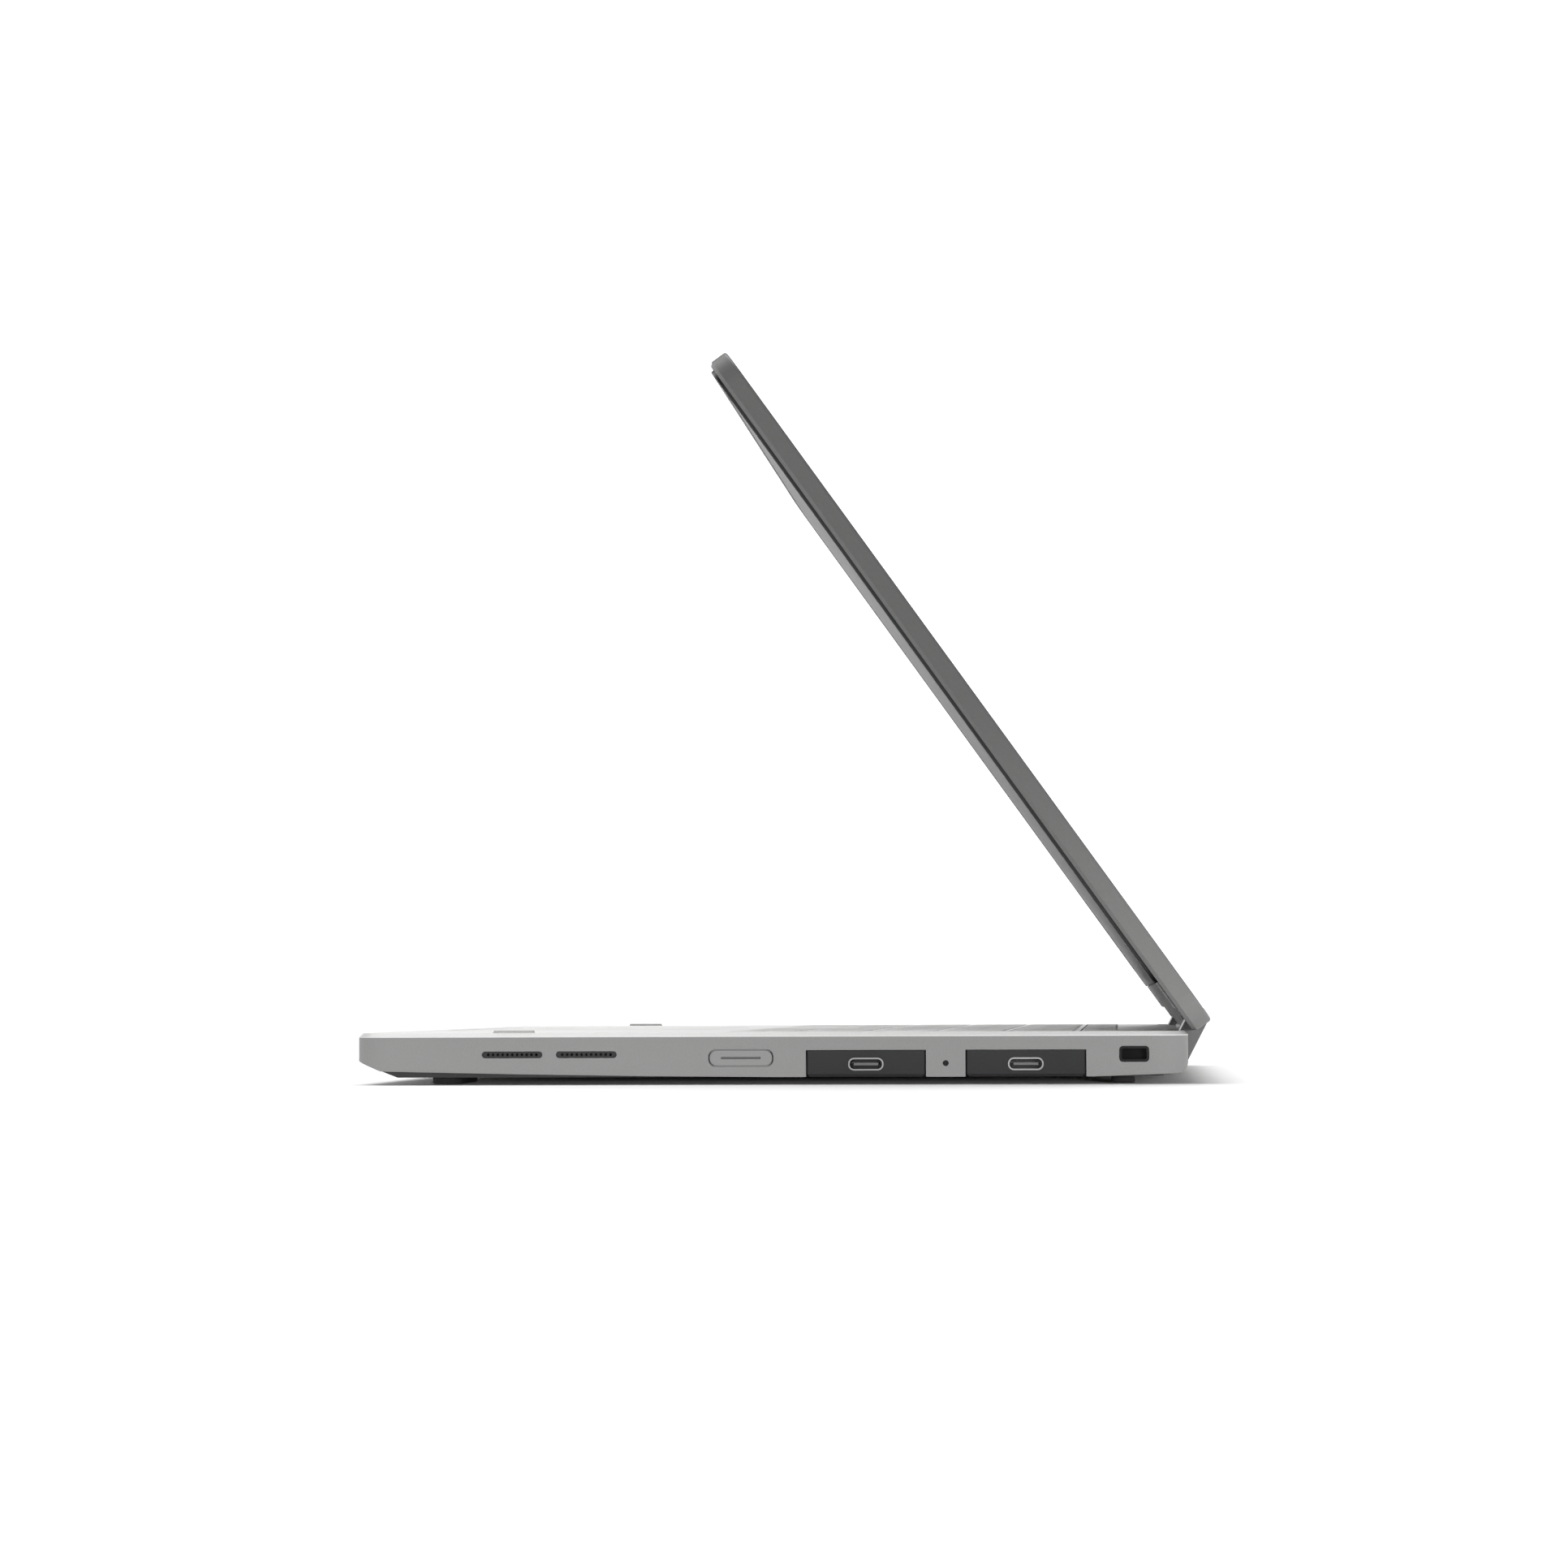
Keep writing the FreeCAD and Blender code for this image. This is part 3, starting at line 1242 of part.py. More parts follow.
def gear_blank(name, level, tooth_up, x):
    """An involute gear along X, with a tooth or a gap on the line of centres."""
    radius = number("gear_radius")
    module = 2 * radius / GEAR_TEETH
    tip = radius + ADDENDUM_SHARE * module
    root = radius - DEDENDUM_SHARE * module
    base = radius * math.cos(PRESSURE_ANGLE)
    half_tooth = math.pi / (2 * GEAR_TEETH) - number("gear_backlash") / (4 * radius)
    offset = half_tooth + math.tan(PRESSURE_ANGLE) - PRESSURE_ANGLE

    def flank(distance):
        roll = math.acos(min(1.0, base / distance))
        return offset - (math.tan(roll) - roll)

    def spot(distance, angle):
        return FreeCAD.Vector(0, distance * math.sin(angle), distance * math.cos(angle))

    flank_radii = [base + (tip - base) * step / GEAR_STEPS for step in range(GEAR_STEPS + 1)]
    pitch = 2 * math.pi / GEAR_TEETH
    edges = []
    for tooth in range(GEAR_TEETH):
        middle = pitch * (tooth + (0 if tooth_up else 0.5))
        rising = [spot(root, middle - offset)] + [spot(r, middle - flank(r)) for r in flank_radii]
        falling = [spot(r, middle + flank(r))
                   for r in reversed(flank_radii)] + [spot(root, middle + offset)]
        next_root = spot(root, middle + pitch - offset)
        edges += [Part.makeLine(a, b) for a, b in zip(rising, rising[1:])]
        edges.append(Part.Arc(rising[-1], spot(tip, middle), falling[0]).toShape())
        edges += [Part.makeLine(a, b) for a, b in zip(falling, falling[1:])]
        edges.append(Part.Arc(falling[-1], spot(root, middle + pitch / 2), next_root).toShape())
    face = Part.Face(Part.Wire(edges))
    low, high = number(x[0]), number(x[1])
    gear = doc.addObject("Part::Feature", name)
    gear.Shape = face.extrude(FreeCAD.Vector(high - low, 0, 0))
    gear.Placement.Base = FreeCAD.Vector(low, 0, number(level))
    return gear


def gear_stretch(side):
    low = "link_inner + link_end + gear_set"
    return across(side, low, f"{low} + gear_width")


def make_hinge_shaft(word, side, level, tooth_up):
    shaft = rod(f"shaft_bar_{word}", across(side, "knuckle_inner", "link_outer - link_end / 2"), "0", level,
                "shaft_radius")
    gear = gear_blank(f"shaft_gear_{word}", level, tooth_up, gear_stretch(side))
    return fuse(f"shaft_{word}", [shaft, gear])


def make_hinge_springs(word, side, level):
    """A stack of spring washers on one shaft, which holds the lid where it is left."""
    discs = []
    for index in range(SPRING_DISCS):
        low = f"link_inner + link_end + gear_set + gear_width + {index + 1} * spring_pitch"
        disc = rod(f"spring_disc_{word}", across(side, low, f"{low} + spring_thickness"), "0", level,
                   "gear_tip")
        bore = rod(f"spring_bore_{word}",
                   across(side, f"{low} - {PAST}", f"{low} + spring_thickness + {PAST}"), "0", level,
                   "shaft_radius + running")
        discs.append(cut(f"spring_{word}", disc, [bore]))
    return discs


def make_idlers(label, step, tooth_up):
    level = f"axis_gap * {step} / {GEAR_STEPS}"
    solids = []
    for word, side in SIDES.items():
        pin = rod(f"idler_pin_{word}", across(side, "link_inner + fit", "link_outer - link_end / 2"), "0",
                  level, "idler_pin")
        gear = gear_blank(f"idler_gear_{word}", level, tooth_up, gear_stretch(side))
        solids.append(fuse(f"idler_{word}", [pin, gear]))
    node(label, group(label + "_pair", solids), LINK_PLACE)


def make_links():
    sleeves = []
    caps = []
    for word, side in SIDES.items():
        outer = stadium(f"link_outside_{word}", across(side, "link_inner", "link_outer"), "link_radius")
        inner = stadium(f"link_inside_{word}",
                        across(side, f"link_inner - {PAST}", "link_outer - link_end"), "link_bore")
        cap = stadium(f"link_cap_{word}", across(side, "link_inner", "link_inner + link_end"),
                      "link_bore - fit")
        bores = []
        for step in range(GEAR_STEPS + 1):
            radius = "shaft_radius" if step in (0, GEAR_STEPS) else "idler_pin"
            bores.append(rod(f"link_bore_{word}",
                             across(side, f"link_inner - {PAST}", "link_outer - link_end / 3"), "0",
                             f"axis_gap * {step} / {GEAR_STEPS}", f"{radius} + running"))
        sleeves.append(cut(f"link_{word}", outer, [inner] + bores))
        caps.append(cut(f"cap_{word}", cap, bores))
    node("hinge_links", group("links", sleeves), LINK_PLACE)
    node("hinge_link_caps", group("caps", caps), LINK_PLACE)


def make_bracket(word, side, upward):
    """A knuckle round the shaft end with a flat arm away from the hinge, above or below the shaft."""
    x = across(side, "knuckle_inner", "knuckle_outer")
    knuckle = rod(f"knuckle_{word}", x, "0", "0", "knuckle_radius")
    arm_z = ("knuckle_radius - bracket_plate", "knuckle_radius")
    if not upward:
        arm_z = ("-knuckle_radius", "bracket_plate - knuckle_radius")
    arm = box(f"bracket_arm_{word}", x, ("-bracket_reach", "0"), arm_z)
    bore = rod(f"knuckle_bore_{word}", across(side, f"knuckle_inner - {PAST}", f"knuckle_outer + {PAST}"),
               "0", "0",
               "shaft_radius + running / 2")
    return cut(f"bracket_{word}", fuse(f"bracket_solid_{word}", [knuckle, arm]), [bore])


def make_hinges():
    for half, level, tooth_up in (("base", "0", True), ("lid", "axis_gap", False)):
        shafts = [make_hinge_shaft(f"{half}_{word}", side, level, tooth_up) for word, side in SIDES.items()]
        springs = [disc for word, side in SIDES.items()
                   for disc in make_hinge_springs(f"{half}_{word}", side, level)]
        brackets = [make_bracket(f"{half}_{word}", side, half == "lid") for word, side in SIDES.items()]
        node(f"{half}_hinge_shafts", group(f"{half}_shafts", shafts), LINK_PLACE)
        node(f"{half}_hinge_springs", group(f"{half}_springs", springs), LINK_PLACE)
        place = LID_PLACE if half == "lid" else turned_place("axis_y", "axis_z", "0")
        node(f"{half}_hinge_brackets", group(f"{half}_brackets", brackets), place)
    make_idlers("lower_idlers", 1, False)
    make_idlers("upper_idlers", 2, True)
    make_links()


# Lid, drawn closed with the lid axis as its origin, outer face up, and turned to the resting angle
def lid_plate(name, inset, z):
    size = (f"2 * (half_width - ({inset}))", f"lid_foot - lid_top - 2 * ({inset})")
    return plate(name, size, f"corner_radius - ({inset})", ("0", "lid_middle"), z)


def lid_notches(name, grow, z):
    return [box(f"{name}_{word}", across(side, f"notch_inner - ({grow})", f"notch_outer + ({grow})"),
                (f"-notch_reach - ({grow})", f"lid_foot + {PAST}"), z) for word, side in SIDES.items()]


def make_lid_cover():
    slab = lid_plate("lid_slab", "0", ("rim_plane", "lid_thickness / 2"))
    rounded = fillet("lid_rounded", slab, [(on_top, "lid_round")])
    bevelled = chamfer("lid_bevelled", rounded, [(underneath, "edge_chamfer")])
    hollow = lid_plate("lid_hollow", "lid_wall", (f"rim_plane - {PAST}", "back_plane"))
    tray = cut("lid_tray", bevelled, [hollow])
    parts = [tray]
    pockets = []
    for word, side in SIDES.items():
        parts.append(box(f"lid_liner_{word}", across(side, "notch_inner - liner", "notch_outer + liner"),
                         ("-notch_reach - liner", "lid_foot - lid_wall / 2"),
                         ("rim_plane", "lid_thickness / 2 - lid_back / 2")))
        parts.append(box(f"lid_rail_{word}",
                         across(side, "opening_x - rail_inset - rail_width", "opening_x - rail_inset"),
                         ("opening_y + rail_inset", "opening_end - rail_inset"),
                         ("panel_rear", "back_plane + lid_back / 2")))
        pockets.append(box(f"lid_pocket_{word}",
                           across(side, "knuckle_inner - link_play", "notch_inner - liner"),
                           (f"lid_foot - lid_wall - {PAST}", "lid_foot - knuckle_skin + fit"),
                           ("-knuckle_radius - fit", "knuckle_radius + fit")))
        pockets.append(rod(f"lid_passage_{word}",
                           across(side, f"notch_inner - liner - {PAST}", "notch_outer"), "0", "0",
                           "shaft_radius + link_play"))
    notches = lid_notches("lid_notch", "0", (f"bezel_front - {PAST}", f"lid_thickness / 2 + {PAST}"))
    node("lid_cover", cut("lid_shell", fuse("lid_solid", parts), pockets + notches), LID_PLACE)


def make_hinge_cover():
    """The strip that closes the lid below the display, with a raised band next to the bezel."""
    x = centred("half_width - lid_wall - shell_gap")
    strip = box("strip_plate", x, ("bezel_end + shell_gap", "lid_foot - lid_wall - shell_gap"),
                ("rim_plane", "rim_plane + hinge_cover"))
    band = box("strip_band", centred("bezel_x"), ("bezel_end + shell_gap", "chin_end"),
               ("rim_plane - chin_proud", "rim_plane"))
    gaps = lid_notches("strip_gap", "liner + shell_gap", (f"rim_plane - {PAST}", f"back_plane + {PAST}"))
    inside = lid_plate("strip_plan", "lid_wall + shell_gap", ("rim_plane", "rim_plane + hinge_cover"))
    fitted = common("strip_fitted", [strip, inside])
    node("lid_hinge_cover", cut("strip", fuse("strip_solid", [fitted, band]), gaps), LID_PLACE)


def window(name, inset, radius, z):
    """A rounded plate that fills the opening of the bezel, drawn in by an inset."""
    size = (f"2 * (opening_x - ({inset}))", f"opening_end - opening_y - 2 * ({inset})")
    return plate(name, size, radius, ("0", "(opening_y + opening_end) / 2"), z)


def make_display():
    frame = plate("bezel_plate", ("2 * bezel_x", "bezel_end - bezel_y"), "corner_radius - bezel_inset",
                  ("0", "(bezel_y + bezel_end) / 2"), ("bezel_front", "rim_plane"))
    eased = chamfer("bezel_eased", frame, [(underneath, "bezel_proud / 4")])
    opening = window("bezel_opening", "0", "key_corner", (f"bezel_front - {PAST}", f"rim_plane + {PAST}"))
    lens_hole = post("bezel_lens_hole", "0", "camera_y", (f"bezel_front - {PAST}", f"rim_plane + {PAST}"),
                     "lens_radius + fit")
    node("display_bezel", cut("bezel", eased, [opening, lens_hole]), LID_PLACE)
    node("display_glass", window("glass_sheet", "glass_gap", "key_corner - glass_gap",
                                 ("glass_front", "glass_rear")), LID_PLACE)
    node("lcd_panel", window("panel_block", "panel_margin", "key_edge", ("panel_front", "panel_rear")),
         LID_PLACE)

    housing = box("camera_block", centred("camera_width / 2"),
                  ("camera_y - camera_depth / 2", "camera_y + camera_depth / 2"),
                  ("rim_plane + fit", "rim_plane + fit + camera_height"))
    barrel = post("camera_barrel", "0", "camera_y", ("bezel_front + glass_drop", "rim_plane + fit"),
                  "lens_radius")
    node("camera_module", fuse("camera", [housing, barrel]), LID_PLACE)


def build():
    rows = keyboard_rows()
    make_deck(rows)
    make_side_frame()
    make_bottom_cover()
    make_screws()
    make_feet()
    make_bumpers()
    make_speakers()
    make_keyboard_tray()
    make_keys(rows)
    make_touchpad()
    make_switches()
    make_battery()
    make_modules()
    make_side_controls()
    make_mainboard()
    make_cooling()
    make_fan()
    make_hinges()
    make_lid_cover()
    make_hinge_cover()
    make_display()
    doc.recompute()


def check_and_write():
    for item in doc.Objects:
        if "Invalid" in item.State or "Error" in item.State:
            raise RuntimeError(f"{item.Name} failed: {item.State}")
    for label, piece in nodes.items():
        if piece.Shape.isNull() or not piece.Shape.isValid() or not piece.Shape.Solids:
            raise RuntimeError(f"{label} has no valid solid")
    os.makedirs("parts", exist_ok=True)
    for label, piece in nodes.items():
        piece.Shape.exportStep(f"parts/{label}.step")
        print(label, len(piece.Shape.Solids), round(piece.Shape.Volume, 1))


build()
check_and_write()
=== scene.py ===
import json
import math

import bpy
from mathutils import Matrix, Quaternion, Vector


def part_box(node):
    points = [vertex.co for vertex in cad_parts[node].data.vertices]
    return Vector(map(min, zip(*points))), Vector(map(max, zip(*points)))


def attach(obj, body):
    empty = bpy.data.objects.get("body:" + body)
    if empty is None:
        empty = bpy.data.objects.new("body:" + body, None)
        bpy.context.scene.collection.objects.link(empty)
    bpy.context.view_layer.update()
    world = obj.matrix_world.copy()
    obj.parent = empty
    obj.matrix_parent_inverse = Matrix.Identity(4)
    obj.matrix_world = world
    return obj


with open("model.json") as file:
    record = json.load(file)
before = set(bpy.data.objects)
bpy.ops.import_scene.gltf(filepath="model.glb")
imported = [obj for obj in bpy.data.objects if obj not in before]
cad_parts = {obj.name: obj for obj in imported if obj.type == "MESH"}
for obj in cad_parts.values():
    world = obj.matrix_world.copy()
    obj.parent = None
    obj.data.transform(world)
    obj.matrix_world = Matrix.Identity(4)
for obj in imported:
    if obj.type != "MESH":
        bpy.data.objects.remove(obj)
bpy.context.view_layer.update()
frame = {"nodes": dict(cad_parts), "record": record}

# A convertible laptop computer: finishes, key legends, floor, light and camera, in metres
MM = 0.001

# Finish of each material slot: colour, roughness, metal share, grain size and depth in millimetres,
# tone spread and roughness spread
FINISHES = {
    "shell_grey": ((0.144, 0.144, 0.142), 0.52, 0.0, 0.30, 0.010, 0.05, 0.02),
    # The lid's grey is the shell grey painted darker: painted shade on the lid, which the light reaches
    # less than the base
    "lid_grey": ((0.122, 0.122, 0.120), 0.52, 0.0, 0.30, 0.010, 0.05, 0.015),
    "cover_black": ((0.016, 0.016, 0.016), 0.60, 0.0, 0.45, 0.020, 0.25, 0.02),
    "rubber_black": ((0.012, 0.012, 0.012), 0.78, 0.0, 0.60, 0.030, 0.30, 0.08),
    "screw_black": ((0.05, 0.05, 0.05), 0.38, 0.9, 0.25, 0.006, 0.20, 0.10),
    "mesh_dark": ((0.014, 0.014, 0.014), 0.58, 0.0, 0.20, 0.006, 0.20, 0.10),
    "bumper_grey": ((0.24, 0.24, 0.235), 0.70, 0.0, 0.50, 0.020, 0.08, 0.06),
    "speaker_black": ((0.020, 0.020, 0.020), 0.62, 0.0, 0.40, 0.015, 0.20, 0.08),
    "tray_grey": ((0.10, 0.10, 0.10), 0.48, 0.4, 0.35, 0.008, 0.15, 0.10),
    "key_grey": ((0.45, 0.45, 0.44), 0.46, 0.0, 0.22, 0.006, 0.05, 0.08),
    "pad_grey": ((0.40, 0.40, 0.395), 0.38, 0.0, 0.18, 0.003, 0.04, 0.03),
    "switch_dark": ((0.05, 0.05, 0.05), 0.50, 0.0, 0.30, 0.010, 0.15, 0.08),
    "battery_black": ((0.022, 0.022, 0.024), 0.42, 0.0, 0.80, 0.020, 0.25, 0.12),
    "module_dark": ((0.011, 0.011, 0.0114), 0.60, 0.0, 0.35, 0.015, 0.12, 0.08),
    "port_metal": ((0.36, 0.36, 0.36), 0.34, 1.0, 0.15, 0.004, 0.12, 0.12),
    "bay_black": ((0.018, 0.018, 0.018), 0.60, 0.0, 0.40, 0.015, 0.20, 0.08),
    "button_grey": ((0.144, 0.144, 0.142), 0.48, 0.0, 0.25, 0.008, 0.08, 0.08),
    "light_clear": ((0.045, 0.045, 0.046), 0.45, 0.0, 0.30, 0.002, 0.10, 0.06),
    "lock_dark": ((0.004, 0.004, 0.004), 0.75, 0.0, 0.30, 0.012, 0.15, 0.10),
    "jack_dark": ((0.018, 0.018, 0.018), 0.30, 0.0, 0.25, 0.004, 0.15, 0.08),
    "board_green": ((0.014, 0.060, 0.032), 0.40, 0.0, 0.50, 0.010, 0.35, 0.12),
    "copper_bare": ((0.62, 0.30, 0.17), 0.34, 1.0, 0.25, 0.006, 0.18, 0.12),
    "fin_alloy": ((0.58, 0.58, 0.59), 0.36, 1.0, 0.20, 0.005, 0.10, 0.12),
    "fan_black": ((0.018, 0.018, 0.018), 0.52, 0.0, 0.35, 0.012, 0.20, 0.08),
    "hinge_steel": ((0.44, 0.44, 0.45), 0.30, 1.0, 0.12, 0.004, 0.12, 0.12),
    "link_grey": ((0.085, 0.085, 0.085), 0.46, 0.0, 0.28, 0.010, 0.10, 0.08),
    "hinge_cover_dark": ((0.090, 0.090, 0.089), 0.48, 0.0, 0.35, 0.012, 0.15, 0.08),
    "bezel_black": ((0.012, 0.012, 0.012), 0.46, 0.0, 0.35, 0.010, 0.20, 0.08),
    "screen_dark": ((0.010, 0.010, 0.012), 0.42, 0.0, 0.30, 0.001, 0.20, 0.015),
    "panel_metal": ((0.10, 0.10, 0.10), 0.40, 0.5, 0.40, 0.008, 0.15, 0.10),
    "camera_black": ((0.010, 0.010, 0.011), 0.10, 0.0, 0.20, 0.001, 0.15, 0.05),
}
# The top plate of the base has the grey of its sides painted paler: painted light, where the light from
# above falls on its top
LIT_DECK_FINISH = ((0.40, 0.40, 0.395), 0.36, 0.0, 0.30, 0.008, 0.05, 0.015)
# The status light is off, and darker than the line of the power button
STATUS_FINISH = ((0.004, 0.004, 0.004), 0.70, 0.0, 0.30, 0.002, 0.10, 0.06)
LEGEND_FINISH = ((0.045, 0.045, 0.045), 0.55, 0.0, 0.20, 0.002, 0.15, 0.08)
FLOOR_FINISH = ((0.90, 0.90, 0.90), 0.75, 0.0, 4.0, 0.010, 0.01, 0.05)
SCREEN_SPECULAR = 0.15
# Share of the noise that the tones and the worn patches spread over
NOISE_LOW = 0.3
NOISE_HIGH = 0.7
GRAIN_DETAIL = 3.0
PATCH_SIZE = 28 * MM
PATCH_DETAIL = 4.0
BUMP_STRENGTH = 0.5


def noise(tree, vector, size, detail):
    """A noise texture with features of about the given size in metres."""
    texture = tree.nodes.new("ShaderNodeTexNoise")
    texture.inputs["Scale"].default_value = 1.0 / size
    texture.inputs["Detail"].default_value = detail
    tree.links.new(vector, texture.inputs["Vector"])
    return texture.outputs["Fac"]


def tone(tree, factor, colour, spread):
    """A ramp from a darker to a lighter tone of one colour."""
    ramp = tree.nodes.new("ShaderNodeValToRGB")
    ends = ((1.0 - spread, NOISE_LOW), (1.0 + spread, NOISE_HIGH))
    for stop, (share, place) in zip(ramp.color_ramp.elements, ends):
        stop.position = place
        stop.color = [min(1.0, channel * share) for channel in colour] + [1.0]
    tree.links.new(factor, ramp.inputs["Fac"])
    return ramp.outputs["Color"]


def stretch(tree, value, low, high, first, last):
    """A value that goes from first to last while the input goes from low to high."""
    limits = tree.nodes.new("ShaderNodeMapRange")
    ends = {"From Min": low, "From Max": high, "To Min": first, "To Max": last}
    for name, number in ends.items():
        limits.inputs[name].default_value = number
    tree.links.new(value, limits.inputs["Value"])
    return limits.outputs["Result"]


def make_finish(name, colour, roughness, metal, grain, depth, tone_spread, rough_spread):
    """A moulded or worked surface: fine grain, uneven tone and patches worn smoother by hands."""
    material = bpy.data.materials.new(name)
    material.use_nodes = True
    tree = material.node_tree
    shader = tree.nodes["Principled BSDF"]
    place = tree.nodes.new("ShaderNodeTexCoord").outputs["Object"]
    fine = noise(tree, place, grain * MM, GRAIN_DETAIL)
    patches = noise(tree, place, PATCH_SIZE, PATCH_DETAIL)
    shader.inputs["Metallic"].default_value = metal
    tree.links.new(tone(tree, fine, colour, tone_spread), shader.inputs["Base Color"])
    smooth, coarse = roughness - rough_spread, roughness + rough_spread
    worn = stretch(tree, patches, NOISE_LOW, NOISE_HIGH, smooth, coarse)
    tree.links.new(worn, shader.inputs["Roughness"])
    bump = tree.nodes.new("ShaderNodeBump")
    bump.inputs["Strength"].default_value = BUMP_STRENGTH
    bump.inputs["Distance"].default_value = depth * MM
    tree.links.new(fine, bump.inputs["Height"])
    tree.links.new(bump.outputs["Normal"], shader.inputs["Normal"])
    return material


# Ports: a bright rim, a dull tongue and shade in the depth between them
PORT_RIM = 142.9 * MM
PORT_MIDDLE = 5.1 * MM
TONGUE_HALF = 0.36 * MM
PORT_SHADE = (0.008, 0.008, 0.008, 1.0)
TONGUE_TONE = (0.075, 0.075, 0.075, 1.0)


def calculate(tree, operation, first, second):
    """One step of arithmetic between a socket and a number or a second socket."""
    step = tree.nodes.new("ShaderNodeMath")
    step.operation = operation
    tree.links.new(first, step.inputs[0])
    if isinstance(second, float):
        step.inputs[1].default_value = second
    else:
        tree.links.new(second, step.inputs[1])
    return step.outputs["Value"]


def blend(tree, factor, first, second):
    """One of two colours, each a socket or a value, by a factor."""
    mix = tree.nodes.new("ShaderNodeMix")
    mix.data_type = "RGBA"
    tree.links.new(factor, mix.inputs["Factor"])
    for colour, name in ((first, "A"), (second, "B")):
        socket = next(entry for entry in mix.inputs if entry.name == name and entry.type == "RGBA")
        if isinstance(colour, tuple):
            socket.default_value = colour
        else:
            tree.links.new(colour, socket)
    return next(entry for entry in mix.outputs if entry.type == "RGBA")


def shade_port(material):
    """Darken a port behind its rim, with a dull tongue in the middle."""
    tree = material.node_tree
    shader = tree.nodes["Principled BSDF"]
    parts = tree.nodes.new("ShaderNodeSeparateXYZ")
    tree.links.new(tree.nodes.new("ShaderNodeTexCoord").outputs["Object"], parts.inputs["Vector"])
    reach = calculate(tree, "ABSOLUTE", parts.outputs["X"], 0.0)
    rim = calculate(tree, "GREATER_THAN", reach, PORT_RIM)
    height = calculate(tree, "SUBTRACT", parts.outputs["Z"], PORT_MIDDLE)
    tongue = calculate(tree, "LESS_THAN", calculate(tree, "ABSOLUTE", height, 0.0), TONGUE_HALF)
    inside = blend(tree, tongue, PORT_SHADE, TONGUE_TONE)
    metal = shader.inputs["Base Color"].links[0].from_socket
    tree.links.new(blend(tree, rim, inside, metal), shader.inputs["Base Color"])
    tree.links.new(rim, shader.inputs["Metallic"])


def paint_nodes():
    """Give every node the finish of its slot, and two nodes one of their own: the deck a paler grey, which
    is painted light on its top, and the status light.
    """
    materials = {slot: make_finish(slot, *finish) for slot, finish in FINISHES.items()}
    shade_port(materials["port_metal"])
    screen = materials["screen_dark"].node_tree.nodes["Principled BSDF"]
    screen.inputs["Specular IOR Level"].default_value = SCREEN_SPECULAR
    for entry in frame["record"]["subparts"]:
        mesh = frame["nodes"][entry["node"]].data
        mesh.materials.clear()
        mesh.materials.append(materials[entry["material_slot"]])
    # The deck's paler grey is painted light from above, not a colour of its own
    frame["nodes"]["deck"].data.materials[0] = make_finish("deck_top_painted_light", *LIT_DECK_FINISH)
    frame["nodes"]["status_light"].data.materials[0] = make_finish("status_off", *STATUS_FINISH)


# Legends on the keys, in millimetres. Each row lists key widths, in pitches, with their words
KEY_PITCH = 17.9
KEYBOARD_HALF = 7.5 * KEY_PITCH
LEGEND_LIFT = 0.02
LETTER_SIZE = 4.6
WORD_SIZE = 3.0
FUNCTION_SIZE = 2.8
LETTER_STEPS = 3
ARROW = ((-1.3, -0.9), (1.3, -0.9), (0.0, 1.1))
# The up and down arrows share a key, each a quarter of its depth from the middle
HALF_KEY_SHIFT = 0.25
ROWS = {
    "function_keys": [(15 / 14, word)
                      for word in ["esc"] + [f"F{number}" for number in range(1, 13)] + ["del"]],
    "number_keys": [(1, sign) for sign in "`1234567890-="] + [(2, "back")],
    "upper_letter_keys": [(1.5, "tab")] + [(1, sign) for sign in "QWERTYUIOP[]"] + [(1.5, "\\")],
    "home_keys": [(1.75, "caps")] + [(1, sign) for sign in "ASDFGHJKL;'"] + [(2.25, "enter")],
    "lower_letter_keys": ([(2.25, "shift")] + [(1, sign) for sign in "ZXCVBNM,./"]
                          + [(2.75, "shift")]),
    "bottom_keys": [(1, "ctrl"), (1, "fn"), (1, ""), (1, "alt"), (6, ""), (1, "alt"), (1, "ctrl"),
                    (1, "<"), (1, "v^"), (1, ">")],
}
TURNS = {"<": math.pi / 2, ">": -math.pi / 2, "^": 0.0, "v": math.pi}


def text_mesh(word, size):
    """Vertices and faces of a flat word about its own middle."""
    curve = bpy.data.curves.new("legend_text", "FONT")
    curve.body = word
    curve.size = size
    curve.resolution_u = LETTER_STEPS
    carrier = bpy.data.objects.new("legend_text", curve)
    bpy.context.scene.collection.objects.link(carrier)
    bpy.context.view_layer.update()
    mesh = bpy.data.meshes.new_from_object(carrier)
    corners = [vertex.co.copy() for vertex in mesh.vertices]
    faces = [tuple(face.vertices) for face in mesh.polygons]
    bpy.data.objects.remove(carrier)
    bpy.data.curves.remove(curve)
    bpy.data.meshes.remove(mesh)
    low = Vector([min(corner[axis] for corner in corners) for axis in range(3)])
    high = Vector([max(corner[axis] for corner in corners) for axis in range(3)])
    return [corner - (low + high) / 2 for corner in corners], faces


def arrow_mesh(sign):
    """Vertices and the face of a flat arrow that points the way of its sign."""
    cosine, sine = math.cos(TURNS[sign]), math.sin(TURNS[sign])
    turned = [Vector((x * cosine - y * sine, x * sine + y * cosine, 0)) for x, y in ARROW]
    return turned, [(0, 1, 2)]


def legend_shapes(row):
    """Outline and middle, in millimetres, of each legend in a row."""
    low, high = (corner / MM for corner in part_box(row))
    middle_y = (low.y + high.y) / 2
    left = 0.0
    for width, word in ROWS[row]:
        middle_x = (left + width / 2) * KEY_PITCH - KEYBOARD_HALF
        if word == "v^":
            for sign, shift in (("v", -HALF_KEY_SHIFT), ("^", HALF_KEY_SHIFT)):
                yield arrow_mesh(sign), middle_x, middle_y + shift * (high.y - low.y)
        elif word in TURNS:
            yield arrow_mesh(word), middle_x, middle_y
        elif row == "function_keys":
            yield text_mesh(word, FUNCTION_SIZE), middle_x, middle_y
        elif word:
            size = LETTER_SIZE if len(word) == 1 else WORD_SIZE
            yield text_mesh(word, size), middle_x, middle_y
        left += width


